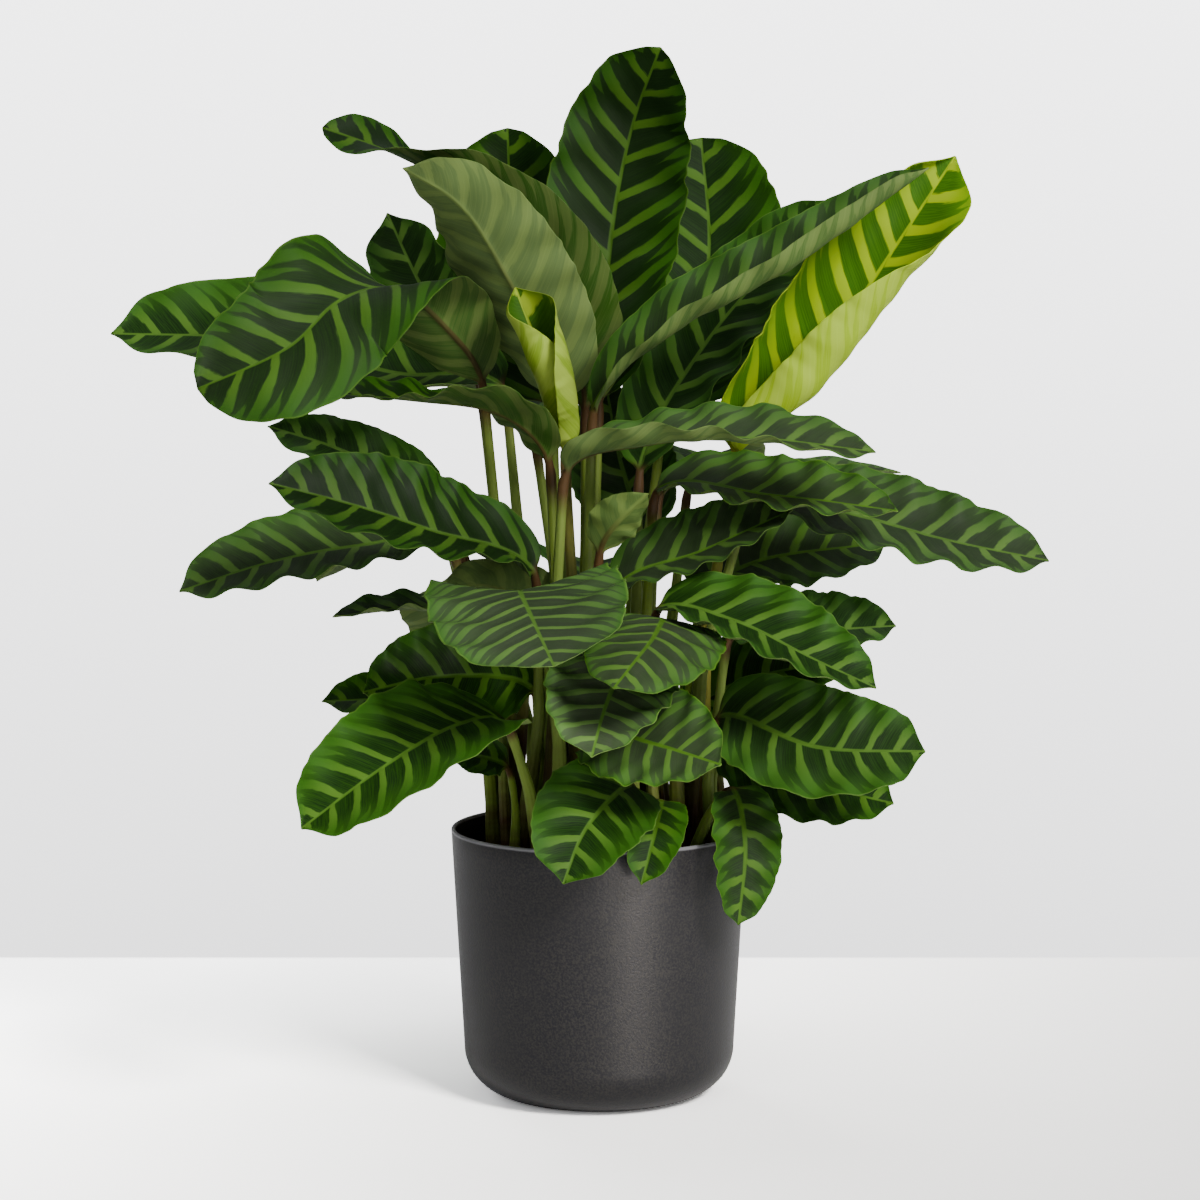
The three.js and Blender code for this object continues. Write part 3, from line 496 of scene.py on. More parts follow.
def leaf_rings(row, rng):
    """All points of a leaf, ring by ring, with what its finish needs to know at each of them."""
    at = stations(row)
    s, length = at["s"], at["length"]
    stem_count = len(at["stem_at"])
    cut = section(row, s, length, rng)

    # Round rings.
    top_turn = np.pi * (0.5 - 0.485 * V)
    radius = stem_radius(row, at["stem_at"], at["stem_length"])[:, None]
    low_down = np.clip(1.3 - at["stem_at"] / at["stem_length"], 0, 1)[:, None]
    ribs = 1 + 0.035 * np.cos(9 * top_turn)[None, :] * low_down
    flat = 1 + 0.35 * np.clip(1 - at["stem_at"] / at["stem_length"] / 0.7, 0, 1)[:, None]
    round_out, round_up = radius * flat * ribs * np.cos(top_turn), radius / flat * ribs * np.sin(top_turn)

    # Flat rings.
    edge_thin = THICKNESS * (1 - 0.45 * A**8)[None, :] / 2
    rib_mm = cut["from_rib"]
    fade = (1 - s)[:, None]
    groove = 0.45 * (0.4 + 0.6 * fade) * np.exp(-((rib_mm / 1.3) ** 2))
    rib = (0.25 + 1.55 * fade) * np.exp(-((rib_mm / 1.9) ** 2))
    over, under = edge_thin - groove, edge_thin + rib
    upper_out = cut["out"] - over * np.sin(cut["lean"])
    upper_up = cut["up"] + over * np.cos(cut["lean"])
    lower_out = cut["out"] + under * np.sin(cut["lean"])
    lower_up = cut["up"] - under * np.cos(cut["lean"])

    # From round to flat over the blade's first millimetres.
    share = np.clip(s * length / 9, 0, 1)[:, None]
    share = share * share * (3 - 2 * share)
    last = row["thin"] * STEM_RADIUS
    upper_out = share * upper_out + (1 - share) * last * np.cos(top_turn)
    upper_up = share * upper_up + (1 - share) * last * np.sin(top_turn)
    lower_out = share * lower_out + (1 - share) * last * np.cos(top_turn)
    lower_up = share * lower_up - (1 - share) * last * np.sin(top_turn)

    out = np.vstack([np.hstack([round_out, round_out[:, ::-1]]), np.hstack([upper_out, lower_out[:, ::-1]])])
    up = np.vstack([np.hstack([round_up, -round_up[:, ::-1]]), np.hstack([upper_up, lower_up[:, ::-1]])])
    across = np.cross(at["forward"], at["up"])
    points = at["place"][:, None] + out[:, :, None] * across[:, None] + up[:, :, None] * at["up"][:, None]

    def both(stem_value, blade_values):
        """A value for each point: one for the stem, and the blade's for its upper and lower side."""
        stem = np.broadcast_to(stem_value, (stem_count, 2 * len(V)))
        blade = np.broadcast_to(blade_values, (len(s), len(V)))
        return np.vstack([stem, np.hstack([blade, blade[:, ::-1]])])

    stem_share = (at["stem_at"] / at["stem_length"])[:, None]
    is_under = np.vstack([np.zeros((stem_count, 2 * len(V))),
                          np.hstack([np.zeros((len(s), len(V))), np.ones((len(s), len(V)))])])
    facts = {
        "veins": both(0.5, cut["veins"]),
        "edge": both(0.0, A[None, :]),
        "along": both(0.0, s[:, None]),
        "rib_mm": both(0.0, rib_mm),
        "under": is_under,
        "stem": both(1.0, (1 - share)),
        "height": both(stem_share, 1.0),
    }
    return points, facts


# %% [markdown]
# ## From rings to meshes
# A mesh takes its points and its four-sided faces as whole arrays. The values that the finish needs
# go in beside the points.

# %% Mesh from arrays


def new_piece(name, points, faces, body="root"):
    """A smooth mesh object at the origin from points in millimetres and equal-sided faces."""
    mesh = bpy.data.meshes.new(name)
    mesh.vertices.add(len(points))
    mesh.vertices.foreach_set("co", (points * MM).astype(np.float32).ravel())
    mesh.loops.add(faces.size)
    mesh.loops.foreach_set("vertex_index", faces.astype(np.int32).ravel())
    mesh.polygons.add(len(faces))
    mesh.polygons.foreach_set("loop_start", np.arange(0, faces.size, faces.shape[1], dtype=np.int32))
    mesh.polygons.foreach_set("use_smooth", np.ones(len(faces), bool))
    mesh.update(calc_edges=True)
    mesh.validate()
    piece = bpy.data.objects.new(name, mesh)
    bpy.context.scene.collection.objects.link(piece)
    return piece


def add_fact(piece, name, values):
    """Keeps one number for each point of the piece."""
    kept = piece.data.attributes.new(name, "FLOAT", "POINT")
    kept.data.foreach_set("value", np.ascontiguousarray(values, np.float32).ravel())


def add_uv(piece, across, along):
    """A UV map from two values for each point."""
    layer = piece.data.uv_layers.new(name="UVMap")
    corner = np.empty(len(piece.data.loops), np.int32)
    piece.data.loops.foreach_get("vertex_index", corner)
    layer.data.foreach_set("uv", np.stack([across.ravel()[corner], along.ravel()[corner]], 1).ravel())


def bands(rings, count):
    """Four-sided faces between neighbouring closed rings of count points each."""
    i, j = np.meshgrid(np.arange(rings - 1), np.arange(count), indexing="ij")
    k = (j + 1) % count
    faces = np.stack([i * count + j, i * count + k, (i + 1) * count + k, (i + 1) * count + j], -1)
    return faces.reshape(-1, 4)


def ring_faces(rings, count):
    """Faces between neighbouring closed rings, and a flat strip of faces that closes each end."""
    j = np.arange(count // 2 - 1)
    a, b, c, d = j, j + 1, count - 2 - j, count - 1 - j
    start = np.stack([a, d, c, b], -1)
    end = np.stack([a, b, c, d], -1) + (rings - 1) * count
    return np.vstack([bands(rings, count), start, end])


# %% Grow all leaves
# How dark the green of a leaf is, partly its own deeper green and partly painted shade: 1 has dark
# bands up to its edge, 0 is green towards the edge, and below 0 is painted light on a leaf in shadow.
DEEP_AND_SHADE = dict(tall_centre=1, back_upper_left=0.7, back_upper_right=0.65, dark_upper_right=0.6,
            upper_left_small=0.7, left_middle=1, right_middle=0.7, big_left=0.8, right_long=0.6,
            back_centre=0.7, far_left=0.3, front_big=0.25, front_right_upper=0.22, front_centre=-0.5,
            front_low=-0.2, lower_left=0, lower_left_behind=0.2, rim_left=0.2, left_long=0.1,
            long_diagonal=0.6, upper_left_lean=0.2, twisted_upper=1.1, left_edge_on=0.95,
            rolled_new=0.65, young_right=0.1)
# How strong the painted grey reflection of the lamps on the upper side is, where a leaf faces the light.
PAINTED_SHEEN = dict(front_big=0.7, front_right_upper=0.75, front_centre=0.95, front_low=0.7, left_long=0.5,
             big_left=0.15, right_long=0.45, right_upper=0.6, right_upper_second=0.6, right_middle=0.5,
             right_edge_on=0.6, lower_right=0.1, rim_right=0.2, long_diagonal=0.3, right_behind=0.4)
leaf_pieces = []
for number, row in enumerate(LEAVES):
    rng = np.random.default_rng(100 + number)
    points, facts = leaf_rings(row, rng)
    rings, count = points.shape[:2]
    piece = new_piece("fine_" + row["name"], points.reshape(-1, 3), ring_faces(rings, count))
    for key, values in facts.items():
        add_fact(piece, key, values)
    add_fact(piece, "tone", np.full(rings * count, rng.uniform(0, 1)))
    add_fact(piece, "deep_and_shade", np.full(rings * count, DEEP_AND_SHADE.get(row["name"], 0.35)))
    add_fact(piece, "painted_sheen", np.full(rings * count, PAINTED_SHEEN.get(row["name"], 0.0)))
    around = np.broadcast_to(np.linspace(0, 1, count), (rings, count))
    length_share = np.broadcast_to(np.linspace(0, 1, rings)[:, None], (rings, count))
    add_uv(piece, around, length_share)
    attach(piece, "root")
    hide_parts("leaf_" + row["name"])
    leaf_pieces.append(piece)
print("leaf faces:", sum(len(p.data.polygons) for p in leaf_pieces))

# %% [markdown]
# ## The pot
# A pot like this is moulded. Its outline is turned once round the axis: a flat foot, a large
# rounded corner, a wall that widens upwards, and a thin rounded lip.

# %% Turn the pot
TURNS = 180


def radius_at(z):
    """Outer radius at height z: the rim's, less the taper over what lies above."""
    return RIM_RADIUS - (POT_HEIGHT - z) * TAPER


def rounded_corner(low, inset, steps):
    """Quarter round from the flat bottom up to the wall: foot + across sin t, top - rise cos t."""
    top = low + radius_at(low) - inset - FOOT_RADIUS
    t = np.linspace(0, np.pi / 2, steps)
    across = radius_at(top) - inset - FOOT_RADIUS
    return np.stack([FOOT_RADIUS + across * np.sin(t), top - (top - low) * np.cos(t)], 1)


def turned_faces(rings):
    """Bands between the rings, and a fan at each end round the two points that come after them."""
    j = np.arange(0, TURNS, 2)
    low = np.stack([np.full_like(j, rings * TURNS), (j + 2) % TURNS, j + 1, j], -1)
    high = np.stack([j, j + 1, (j + 2) % TURNS], -1) + (rings - 1) * TURNS
    high = np.hstack([np.full((len(j), 1), rings * TURNS + 1), high])
    return np.vstack([bands(rings, TURNS), low, high])


def turned(name, outline):
    """A closed surface from an outline that starts and ends on the axis."""
    turn = np.arange(TURNS) / TURNS * 2 * np.pi
    ring = np.stack([outline[1:-1, 0, None] * np.cos(turn), outline[1:-1, 0, None] * np.sin(turn),
                     np.broadcast_to(outline[1:-1, 1, None], (len(outline) - 2, TURNS))], -1)
    ends = np.array([[0, 0, outline[0, 1]], [0, 0, outline[-1, 1]]])
    points = np.vstack([ring.reshape(-1, 3), ends])
    return new_piece(name, points, turned_faces(len(outline) - 2))


lip_turn = np.linspace(0, np.pi, 9)
lip = np.stack([RIM_RADIUS - WALL / 2 + WALL / 2 * np.cos(lip_turn),
                POT_HEIGHT - WALL / 2 + WALL / 2 * np.sin(lip_turn)], 1)
outer = rounded_corner(0, 0, 22)
inner = rounded_corner(FLOOR, WALL, 12)[::-1]
wall_up = np.linspace(outer[-1], lip[0], 14)[1:-1]
wall_down = np.linspace(lip[-1], inner[0], 10)[1:-1]
outline = np.vstack([[(0, 0)], outer, wall_up, lip, wall_down, inner, [(0, FLOOR)]])
pot = turned("pot_shell", outline)
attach(pot, "root")
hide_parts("pot")
print("pot faces:", len(pot.data.polygons), "outer radius at the foot:", round(radius_at(0), 1), "mm")

# %% [markdown]
# ## The soil
# Potting soil is a crumbly mix. Its top is a grid of rings whose height is the crown plus several
# sizes of seeded bumps. Bark chips and coir crumbs lie on it.

# %% Soil body
rng = np.random.default_rng(7)


def bumps(x, y, size, height, rng, count=26):
    """Sum of waves in random directions, about one size long, that reaches about the given height."""
    turn, start = rng.uniform(0, 2 * np.pi, (2, count))
    pace = 2 * np.pi / (size * rng.uniform(0.7, 1.5, count))
    flat = np.sin(pace * (np.cos(turn) * x[..., None] + np.sin(turn) * y[..., None]) + start)
    return height * flat.sum(-1) / math.sqrt(count)


def soil_top(x, y):
    """The crown with crumbs of three sizes, calmed at the wall."""
    r = np.hypot(x, y)
    edge = np.clip((RIM_RADIUS - WALL - 2 - r) / 8, 0, 1)
    noise = np.random.default_rng(11)
    rough = bumps(x, y, 22, 0.8, noise) + bumps(x, y, 7, 0.55, noise) + bumps(x, y, 3.2, 0.32, noise)
    return soil_height(r) - 1.2 + rough * edge


soil_edge_radius = radius_at(SOIL_EDGE) - WALL - 0.4
rings = 96
radii = soil_edge_radius * (np.arange(1, rings + 1) / rings) ** 0.8
turn = np.arange(TURNS) / TURNS * 2 * np.pi
x, y = radii[::-1, None] * np.cos(turn), radii[::-1, None] * np.sin(turn)
top_points = np.stack([x, y, soil_top(x, y)], -1)
below = rounded_corner(FLOOR + GAP, WALL + 0.4, 12)
low_points = np.stack([below[:, 0, None] * np.cos(turn), below[:, 0, None] * np.sin(turn),
                       np.broadcast_to(below[:, 1, None], (len(below), TURNS))], -1)
points = np.vstack([low_points.reshape(-1, 3), top_points.reshape(-1, 3),
                    [[0, 0, FLOOR + GAP], [0, 0, float(soil_top(np.zeros(1), np.zeros(1))[0])]]])
soil = new_piece("soil_body", points, turned_faces(len(below) + rings))
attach(soil, "root")
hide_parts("soil")
print("soil faces:", len(soil.data.polygons))

# %% Bark chips and crumbs
CHIPS = 420
rng = np.random.default_rng(21)
ball_u, ball_v = np.meshgrid(np.linspace(0, 2 * np.pi, 7)[:-1], np.linspace(-1, 1, 5), indexing="xy")
ring_size = np.sqrt(np.clip(1 - (0.92 * ball_v) ** 2, 0, 1))
chip = np.stack([ring_size * np.cos(ball_u), ring_size * np.sin(ball_u), ball_v], -1).reshape(-1, 3)
caps = np.array([[0, 3, 2, 1], [0, 5, 4, 3], [24, 25, 26, 27], [24, 27, 28, 29]])
chip_faces = np.vstack([bands(5, 6), caps])
spot_r = (soil_edge_radius - 4) * np.sqrt(rng.uniform(0, 1, CHIPS))
spot_t = rng.uniform(0, 2 * np.pi, CHIPS)
spot_x, spot_y = spot_r * np.cos(spot_t), spot_r * np.sin(spot_t)
size = rng.uniform(0.7, 1.6, (CHIPS, 1)) * np.array([[1.0, 0.6, 0.4]]) * rng.uniform(0.6, 1.7, (CHIPS, 3))
size[: CHIPS // 5] *= [2.2, 1.3, 1.0]
bent = chip[None] * (1 + rng.uniform(-0.28, 0.28, (CHIPS, len(chip), 1))) * size[:, None]
spin, tip = rng.uniform(0, 2 * np.pi, CHIPS), rng.normal(0, 0.35, CHIPS)
bx = bent[..., 0] * np.cos(tip)[:, None] - bent[..., 2] * np.sin(tip)[:, None]
bz = bent[..., 0] * np.sin(tip)[:, None] + bent[..., 2] * np.cos(tip)[:, None]
cx = bx * np.cos(spin)[:, None] - bent[..., 1] * np.sin(spin)[:, None] + spot_x[:, None]
cy = bx * np.sin(spin)[:, None] + bent[..., 1] * np.cos(spin)[:, None] + spot_y[:, None]
cz = bz + (soil_top(spot_x, spot_y) + 0.35)[:, None]
chip_points = np.stack([cx, cy, cz], -1).reshape(-1, 3)
faces = (chip_faces[None] + (np.arange(CHIPS) * len(chip))[:, None, None]).reshape(-1, 4)
chips = new_piece("soil_chips", chip_points, faces)
add_fact(chips, "tone", np.repeat(rng.uniform(0, 1, CHIPS), len(chip)))
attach(chips, "root")
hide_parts("soil")
print("chips:", CHIPS, "faces:", len(chips.data.polygons))

# %% [markdown]
# ## Small tools for finishes
# A finish is a small network: values that lie on the surface go in, and a colour, a roughness and a
# bump come out. These helpers keep the network readable.

# %% Helpers for finishes


def paint(code):
    """A colour as it looks on a screen, such as 2f5a1c, as the linear light that the shader adds up."""
    c = np.array([int(code[k:k + 2], 16) for k in (0, 2, 4)]) / 255
    light = np.where(c <= 0.04045, c / 12.92, ((c + 0.055) / 1.055) ** 2.4)
    return (*[float(v) for v in light], 1.0)


def node(tree, kind, inputs=None, out=0, **settings):
    """Adds a node, fills or links its inputs, and returns one output."""
    made = tree.nodes.new(kind)
    for key, value in settings.items():
        setattr(made, key, value)
    for key, value in (inputs or {}).items():
        if isinstance(value, bpy.types.NodeSocket):
            tree.links.new(value, made.inputs[key])
        else:
            made.inputs[key].default_value = value
    return made.outputs[out]


def fact(tree, name):
    """A number that was kept at the points of the piece."""
    return node(tree, "ShaderNodeAttribute", out=2, attribute_name=name)


def sums(tree, how, a, b=0.0, c=0.0):
    """One step of arithmetic, such as ADD or FLOOR."""
    return node(tree, "ShaderNodeMath", {0: a, 1: b, 2: c}, operation=how)


def times(tree, a, b):
    return sums(tree, "MULTIPLY", a, b)


def minus(tree, a, b):
    return sums(tree, "SUBTRACT", a, b)


def line(tree, a, b, c):
    """a times b, plus c."""
    return sums(tree, "MULTIPLY_ADD", a, b, c)


def ease(tree, x, low, high, from_value=0.0, to_value=1.0):
    """from_value below low, to_value above high, with a smooth change between."""
    return node(tree, "ShaderNodeMapRange", {0: x, 1: low, 2: high, 3: from_value, 4: to_value},
                interpolation_type="SMOOTHSTEP")


def mixed(tree, share, a, b):
    """Colour a where share is 0 and colour b where it is 1."""
    return node(tree, "ShaderNodeMix", {0: share, 6: a, 7: b}, out=2, data_type="RGBA")


def point(tree, x, y=0.0, z=0.0):
    return node(tree, "ShaderNodeCombineXYZ", {0: x, 1: y, 2: z})


def noise(tree, where, scale, detail=2.0, roughness=0.5):
    return node(tree, "ShaderNodeTexNoise", {"Vector": where, "Scale": scale, "Detail": detail,
                                             "Roughness": roughness})


def new_finish(name):
    """A finish with one shader: returns the finish, its tree and the shader."""
    finish = bpy.data.materials.new(name)
    finish.use_nodes = True
    tree = finish.node_tree
    shader = next(n for n in tree.nodes if n.type == "BSDF_PRINCIPLED")
    return finish, tree, shader


# %% [markdown]
# ## Finish of the leaves
# The upper side has dark bands between light stripes. Each light stripe follows a main side vein
# from the pale midrib, grows broader towards the edge and melts into a lighter border. Short light
# wedges reach in from the border between two stripes. Fine veins run parallel to the main ones. The
# lower side shows the same drawing faintly, in grey green. The count of side veins that lies on the
# blade gives all of it: a whole number is a main vein, a half is the middle of a dark band.
#
# Two facts set each leaf apart. The first makes a leaf darker and calmer: partly its own deeper
# green, as on older leaves, and partly painted shade where the leaf lies in shadow; below zero it is
# painted light. The second lays a painted grey reflection of the lamps over its dark bands and
# stripes, where a leaf faces the light.

# %% Leaf finish


def leaf_finish(name, dark, band, stripe, border, sheen_over_bands, sheen_over_stripes, under, under_vein, stem_low, stem_high, joint,
                roughness, share):
    """The striped finish. Each colour is a code as it looks on a screen."""
    finish, tree, shader = new_finish(name)
    veins, edge = fact(tree, "veins"), fact(tree, "edge")
    rib, is_under = fact(tree, "rib_mm"), fact(tree, "under")
    stem, height = fact(tree, "stem"), fact(tree, "height")
    tone, along = fact(tree, "tone"), fact(tree, "along")
    deep_and_shade, painted_sheen = fact(tree, "deep_and_shade"), fact(tree, "painted_sheen")

    # Uneven stripes: a slow wander, and a fine fringe that runs along the veins.
    slow = noise(tree, point(tree, veins, times(tree, edge, 2.2), times(tree, tone, 40)), 1.1)
    wander = line(tree, minus(tree, slow, 0.5), 0.24, veins)
    fringe = noise(tree, point(tree, times(tree, veins, 20.0), times(tree, edge, 1.2), tone), 1.0, 3.0)
    fringe = times(tree, minus(tree, fringe, 0.5), 0.27)
    near = sums(tree, "ABSOLUTE", minus(tree, sums(tree, "FRACT", wander), 0.5))
    near = line(tree, near, 2.0, fringe)  # 1 on a main vein, 0 mid band

    # Main stripes.
    wide = ease(tree, edge, 0.03, 0.9, share, share + 0.16)
    inner = minus(tree, 1.0, wide)
    main = ease(tree, near, minus(tree, inner, 0.055), sums(tree, "ADD", inner, 0.055))
    # Wedges from the border.
    patch = noise(tree, point(tree, sums(tree, "FLOOR", wander), times(tree, tone, 30)), 3.1, 0.0)
    reach = line(tree, minus(tree, patch, 0.5), 0.7, edge)
    wedge = ease(tree, reach, 0.55, 1.05, 0.0, 0.42)
    between = ease(tree, near, minus(tree, wedge, 0.1), sums(tree, "ADD", wedge, 0.02), 1.0, 0.0)
    between = times(tree, between, ease(tree, reach, 0.55, 0.66))
    light = sums(tree, "MAXIMUM", main, times(tree, between, 0.8))

    fine = noise(tree, point(tree, times(tree, veins, 34.0), times(tree, edge, 1.5), tone), 1.0, 1.0)
    # Partly painted shade: a darker leaf keeps less green towards its edge.
    green_edge = times(tree, ease(tree, edge, 0.3, 1.0), line(tree, deep_and_shade, -0.85, 1.0))
    ground = mixed(tree, green_edge, paint(dark), paint(band))
    lively = line(tree, deep_and_shade, -0.75, 1.0)
    hair = sums(tree, "SINE", line(tree, wander, 75.0, times(tree, fringe, 6.0)))
    lines = sums(tree, "MAXIMUM", ease(tree, fine, 0.4, 0.7, 0.0, 0.5), ease(tree, hair, 0.2, 1.0, 0.0, 0.35))
    ground = mixed(tree, times(tree, lines, lively), ground, paint(band))
    # Painted reflection: a grey sheen of the lamps over the dark bands.
    ground = mixed(tree, times(tree, painted_sheen, ease(tree, slow, 0.2, 0.8, 0.6, 0.95)), ground, paint(sheen_over_bands))
    bright = mixed(tree, ease(tree, edge, 0.1, 0.95), paint(stripe), paint(border))
    # Painted reflection: the same sheen pales the stripes.
    bright = mixed(tree, times(tree, painted_sheen, 0.5), bright, paint(sheen_over_stripes))
    upper = mixed(tree, light, ground, bright)
    # Lighter border, pale midrib, bright rim.
    upper = mixed(tree, ease(tree, line(tree, fringe, 0.4, edge), 0.86, 1.0, 0.0, 0.6), upper, paint(border))
    rib_core, rib_end = ease(tree, along, 0.0, 1.0, 1.5, 0.5), ease(tree, along, 0.0, 1.0, 3.0, 1.3)
    on_rib = ease(tree, rib, rib_core, rib_end, 0.85, 0.0)
    upper = mixed(tree, on_rib, upper, paint(stripe))
    upper = mixed(tree, ease(tree, edge, 0.97, 0.99, 0.0, 0.8), upper, paint(stripe))

    faint = times(tree, light, 0.7)
    # Partly painted shade on the lower side too: a darker leaf turns it towards the dark border green.
    below = mixed(tree, times(tree, deep_and_shade, 0.8), paint(under), paint(border))
    lower = mixed(tree, faint, below, paint(under_vein))
    vein = ease(tree, near, 0.93, 1.0, 0.0, 0.7)
    lower = mixed(tree, vein, lower, paint(under_vein))
    lower = mixed(tree, ease(tree, fine, 0.4, 0.65, 0.0, 0.3), lower, paint(under_vein))
    rib_colour = mixed(tree, ease(tree, along, 0.05, 0.75), paint(joint), paint(under_vein))
    lower = mixed(tree, ease(tree, rib, 1.2, 2.6, 0.85, 0.0), lower, rib_colour)
    blade = mixed(tree, is_under, upper, lower)

    # Stem: reddish brown at the soil, green above, purple brown at the joint under the blade.
    grain = noise(tree, point(tree, times(tree, tone, 20), height), 9.0, 3.0)
    stalk = mixed(tree, ease(tree, line(tree, minus(tree, grain, 0.5), 0.5, height), 0.1, 0.55),
                  paint(stem_low), paint(stem_high))
    stalk = mixed(tree, ease(tree, height, 0.88, 0.96), stalk, paint(joint))
    colour = mixed(tree, stem, blade, stalk)
    vary = noise(tree, node(tree, "ShaderNodeTexCoord", out=3), 14.0, 2.0)
    # Partly painted shade: a darker leaf gets a lower value, and below zero the value rises as painted light.
    colour = node(tree, "ShaderNodeHueSaturation", {
        "Hue": 0.5, "Saturation": line(tree, tone, 0.1, 0.95), "Color": colour,
        "Value": line(tree, vary, 0.45, line(tree, deep_and_shade, -0.5, 0.86))})
    tree.links.new(colour, shader.inputs["Base Color"])

    low_gloss = line(tree, is_under, 0.14, roughness)
    tree.links.new(line(tree, minus(tree, vary, 0.5), 0.2, low_gloss), shader.inputs["Roughness"])
    relief = line(tree, fine, 0.35, times(tree, near, 0.8))
    relief = times(tree, relief, minus(tree, 1.0, stem))
    bump = node(tree, "ShaderNodeBump", {"Strength": 0.35, "Distance": 0.0006, "Height": relief})
    tree.links.new(bump, shader.inputs["Normal"])
    shader.inputs["Specular IOR Level"].default_value = 0.1
    shader.inputs["Sheen Weight"].default_value = 0.01
    shader.inputs["Sheen Roughness"].default_value = 0.5
    shader.inputs["Sheen Tint"].default_value = (0.75, 0.9, 0.7, 1)
    return finish


green = leaf_finish("leaf_green", dark="0b2402", band="264e08", stripe="476c1f", border="2a560c",
                    sheen_over_bands="3a4232", sheen_over_stripes="566e40", under="526438", under_vein="64783c", stem_low="43281a",
                    stem_high="687c32", joint="48341c", roughness=0.6, share=0.24)
lime = leaf_finish("leaf_lime", dark="2c5404", band="4a7a08", stripe="90a81c", border="6c900c",
                   sheen_over_bands="8aa860", sheen_over_stripes="8aa860", under="8aa626", under_vein="a0b844", stem_low="5a4c28",
                   stem_high="7c7c38", joint="746238", roughness=0.6, share=0.32)
for piece, row in zip(leaf_pieces, LEAVES):
    piece.data.materials.append(lime if row["young"] else green)
print("finishes:", green.name, lime.name)

# %% [markdown]
# ## Finish of the pot and the soil
# The pot is satin anthracite with a fine, slightly speckled grain. The soil is nearly black and
# rough, with redder bark.

# %% Pot and soil finish
finish, tree, shader = new_finish("pot_anthracite")
where = node(tree, "ShaderNodeTexCoord", out=3)
speckle = noise(tree, where, 620.0, 2.0, 0.6)
cloud = noise(tree, where, 26.0, 3.0)
colour = mixed(tree, ease(tree, speckle, 0.35, 0.68), paint("111119"), paint("2a2826"))
colour = mixed(tree, ease(tree, cloud, 0.3, 0.7, 0.0, 0.35), colour, paint("1e1d1f"))
# Painted highlight: a light grey band round the top of the lip, where it catches the light.
high_up = node(tree, "ShaderNodeSeparateXYZ", {0: where}, out=2)
colour = mixed(tree, ease(tree, high_up, 0.197, 0.1985, 0.0, 0.8), colour, paint("85858a"))
tree.links.new(colour, shader.inputs["Base Color"])
tree.links.new(line(tree, speckle, 0.3, 0.27), shader.inputs["Roughness"])
bump = node(tree, "ShaderNodeBump", {"Strength": 0.5, "Distance": 0.0003, "Height": speckle})
tree.links.new(bump, shader.inputs["Normal"])
shader.inputs["Metallic"].default_value = 0.1
shader.inputs["Specular IOR Level"].default_value = 0.36
pot.data.materials.append(finish)

finish, tree, shader = new_finish("soil_dark")
where = node(tree, "ShaderNodeTexCoord", out=3)
crumb = noise(tree, where, 260.0, 5.0, 0.65)
blotch = noise(tree, where, 60.0, 3.0)
colour = mixed(tree, ease(tree, crumb, 0.35, 0.75), paint("0d0806"), paint("2a1d14"))
colour = mixed(tree, ease(tree, blotch, 0.55, 0.8, 0.0, 0.6), colour, paint("38241a"))
tree.links.new(colour, shader.inputs["Base Color"])
shader.inputs["Roughness"].default_value = 0.95
bump = node(tree, "ShaderNodeBump", {"Strength": 0.9, "Distance": 0.0012, "Height": crumb})
tree.links.new(bump, shader.inputs["Normal"])
soil.data.materials.append(finish)

finish, tree, shader = new_finish("bark_chips")
where = node(tree, "ShaderNodeTexCoord", out=3)
tone = fact(tree, "tone")
colour = mixed(tree, ease(tree, tone, 0.3, 0.95), paint("1a0f0a"), paint("6a3c24"))
colour = mixed(tree, ease(tree, noise(tree, where, 400.0, 3.0), 0.35, 0.7, 0.0, 0.6), colour, paint("1a100a"))
tree.links.new(colour, shader.inputs["Base Color"])
shader.inputs["Roughness"].default_value = 0.85
chips.data.materials.append(finish)
print("finishes of the pot and soil made")

# %% [markdown]
# ## Floor, light and camera
# The floor is large, plain and pale, and isn't part of the object. The photo's room is bright, yet
# its leaves keep rich, dark colours. So floor and surroundings look brighter to the eye than they
# light the plant: a light path tells the camera's own rays from all others. A painted falloff of
# light darkens the floor a little to the front and the right, and it meets a plain pale wall, a
# painted glow that grows brighter upwards.
#
# The lamps are weak and soft. The key stands high at the right in front and throws the shadow to
# the left and back. A wide one hangs above, and a low one behind lights the leaves at the back. A
# fill at the left keeps the shaded leaves readable, and a low warm one gives the pot its sheen.

# %% Floor
REACH = 9.0
WALL_LINE = 0.477  # how far behind the pot the floor meets the pale wall, in metres
PALE = paint("e9e9ea")
SOFT = 0.25  # brightness with which they light the plant
GAIN = 2.75  # how much light the floor sends back to the eye

mesh = bpy.data.meshes.new("floor")
corners = [(-REACH, -REACH, 0), (REACH, -REACH, 0), (REACH, REACH, 0), (-REACH, REACH, 0)]
mesh.from_pydata(corners, [], [(0, 1, 2, 3)])
floor = bpy.data.objects.new("floor", mesh)
bpy.context.scene.collection.objects.link(floor)
finish, tree, shader = new_finish("floor_pale")
shader.inputs["Base Color"].default_value = paint("ececec")
shader.inputs["Roughness"].default_value = 0.75
where = node(tree, "ShaderNodeTexCoord", out=3)
depth = node(tree, "ShaderNodeSeparateXYZ", {0: where}, out=1)
far = node(tree, "ShaderNodeVectorMath", {0: where}, out=1, operation="LENGTH")
fade = sums(tree, "MAXIMUM", ease(tree, depth, WALL_LINE, WALL_LINE + 0.012), ease(tree, far, 0.9, 2.2))
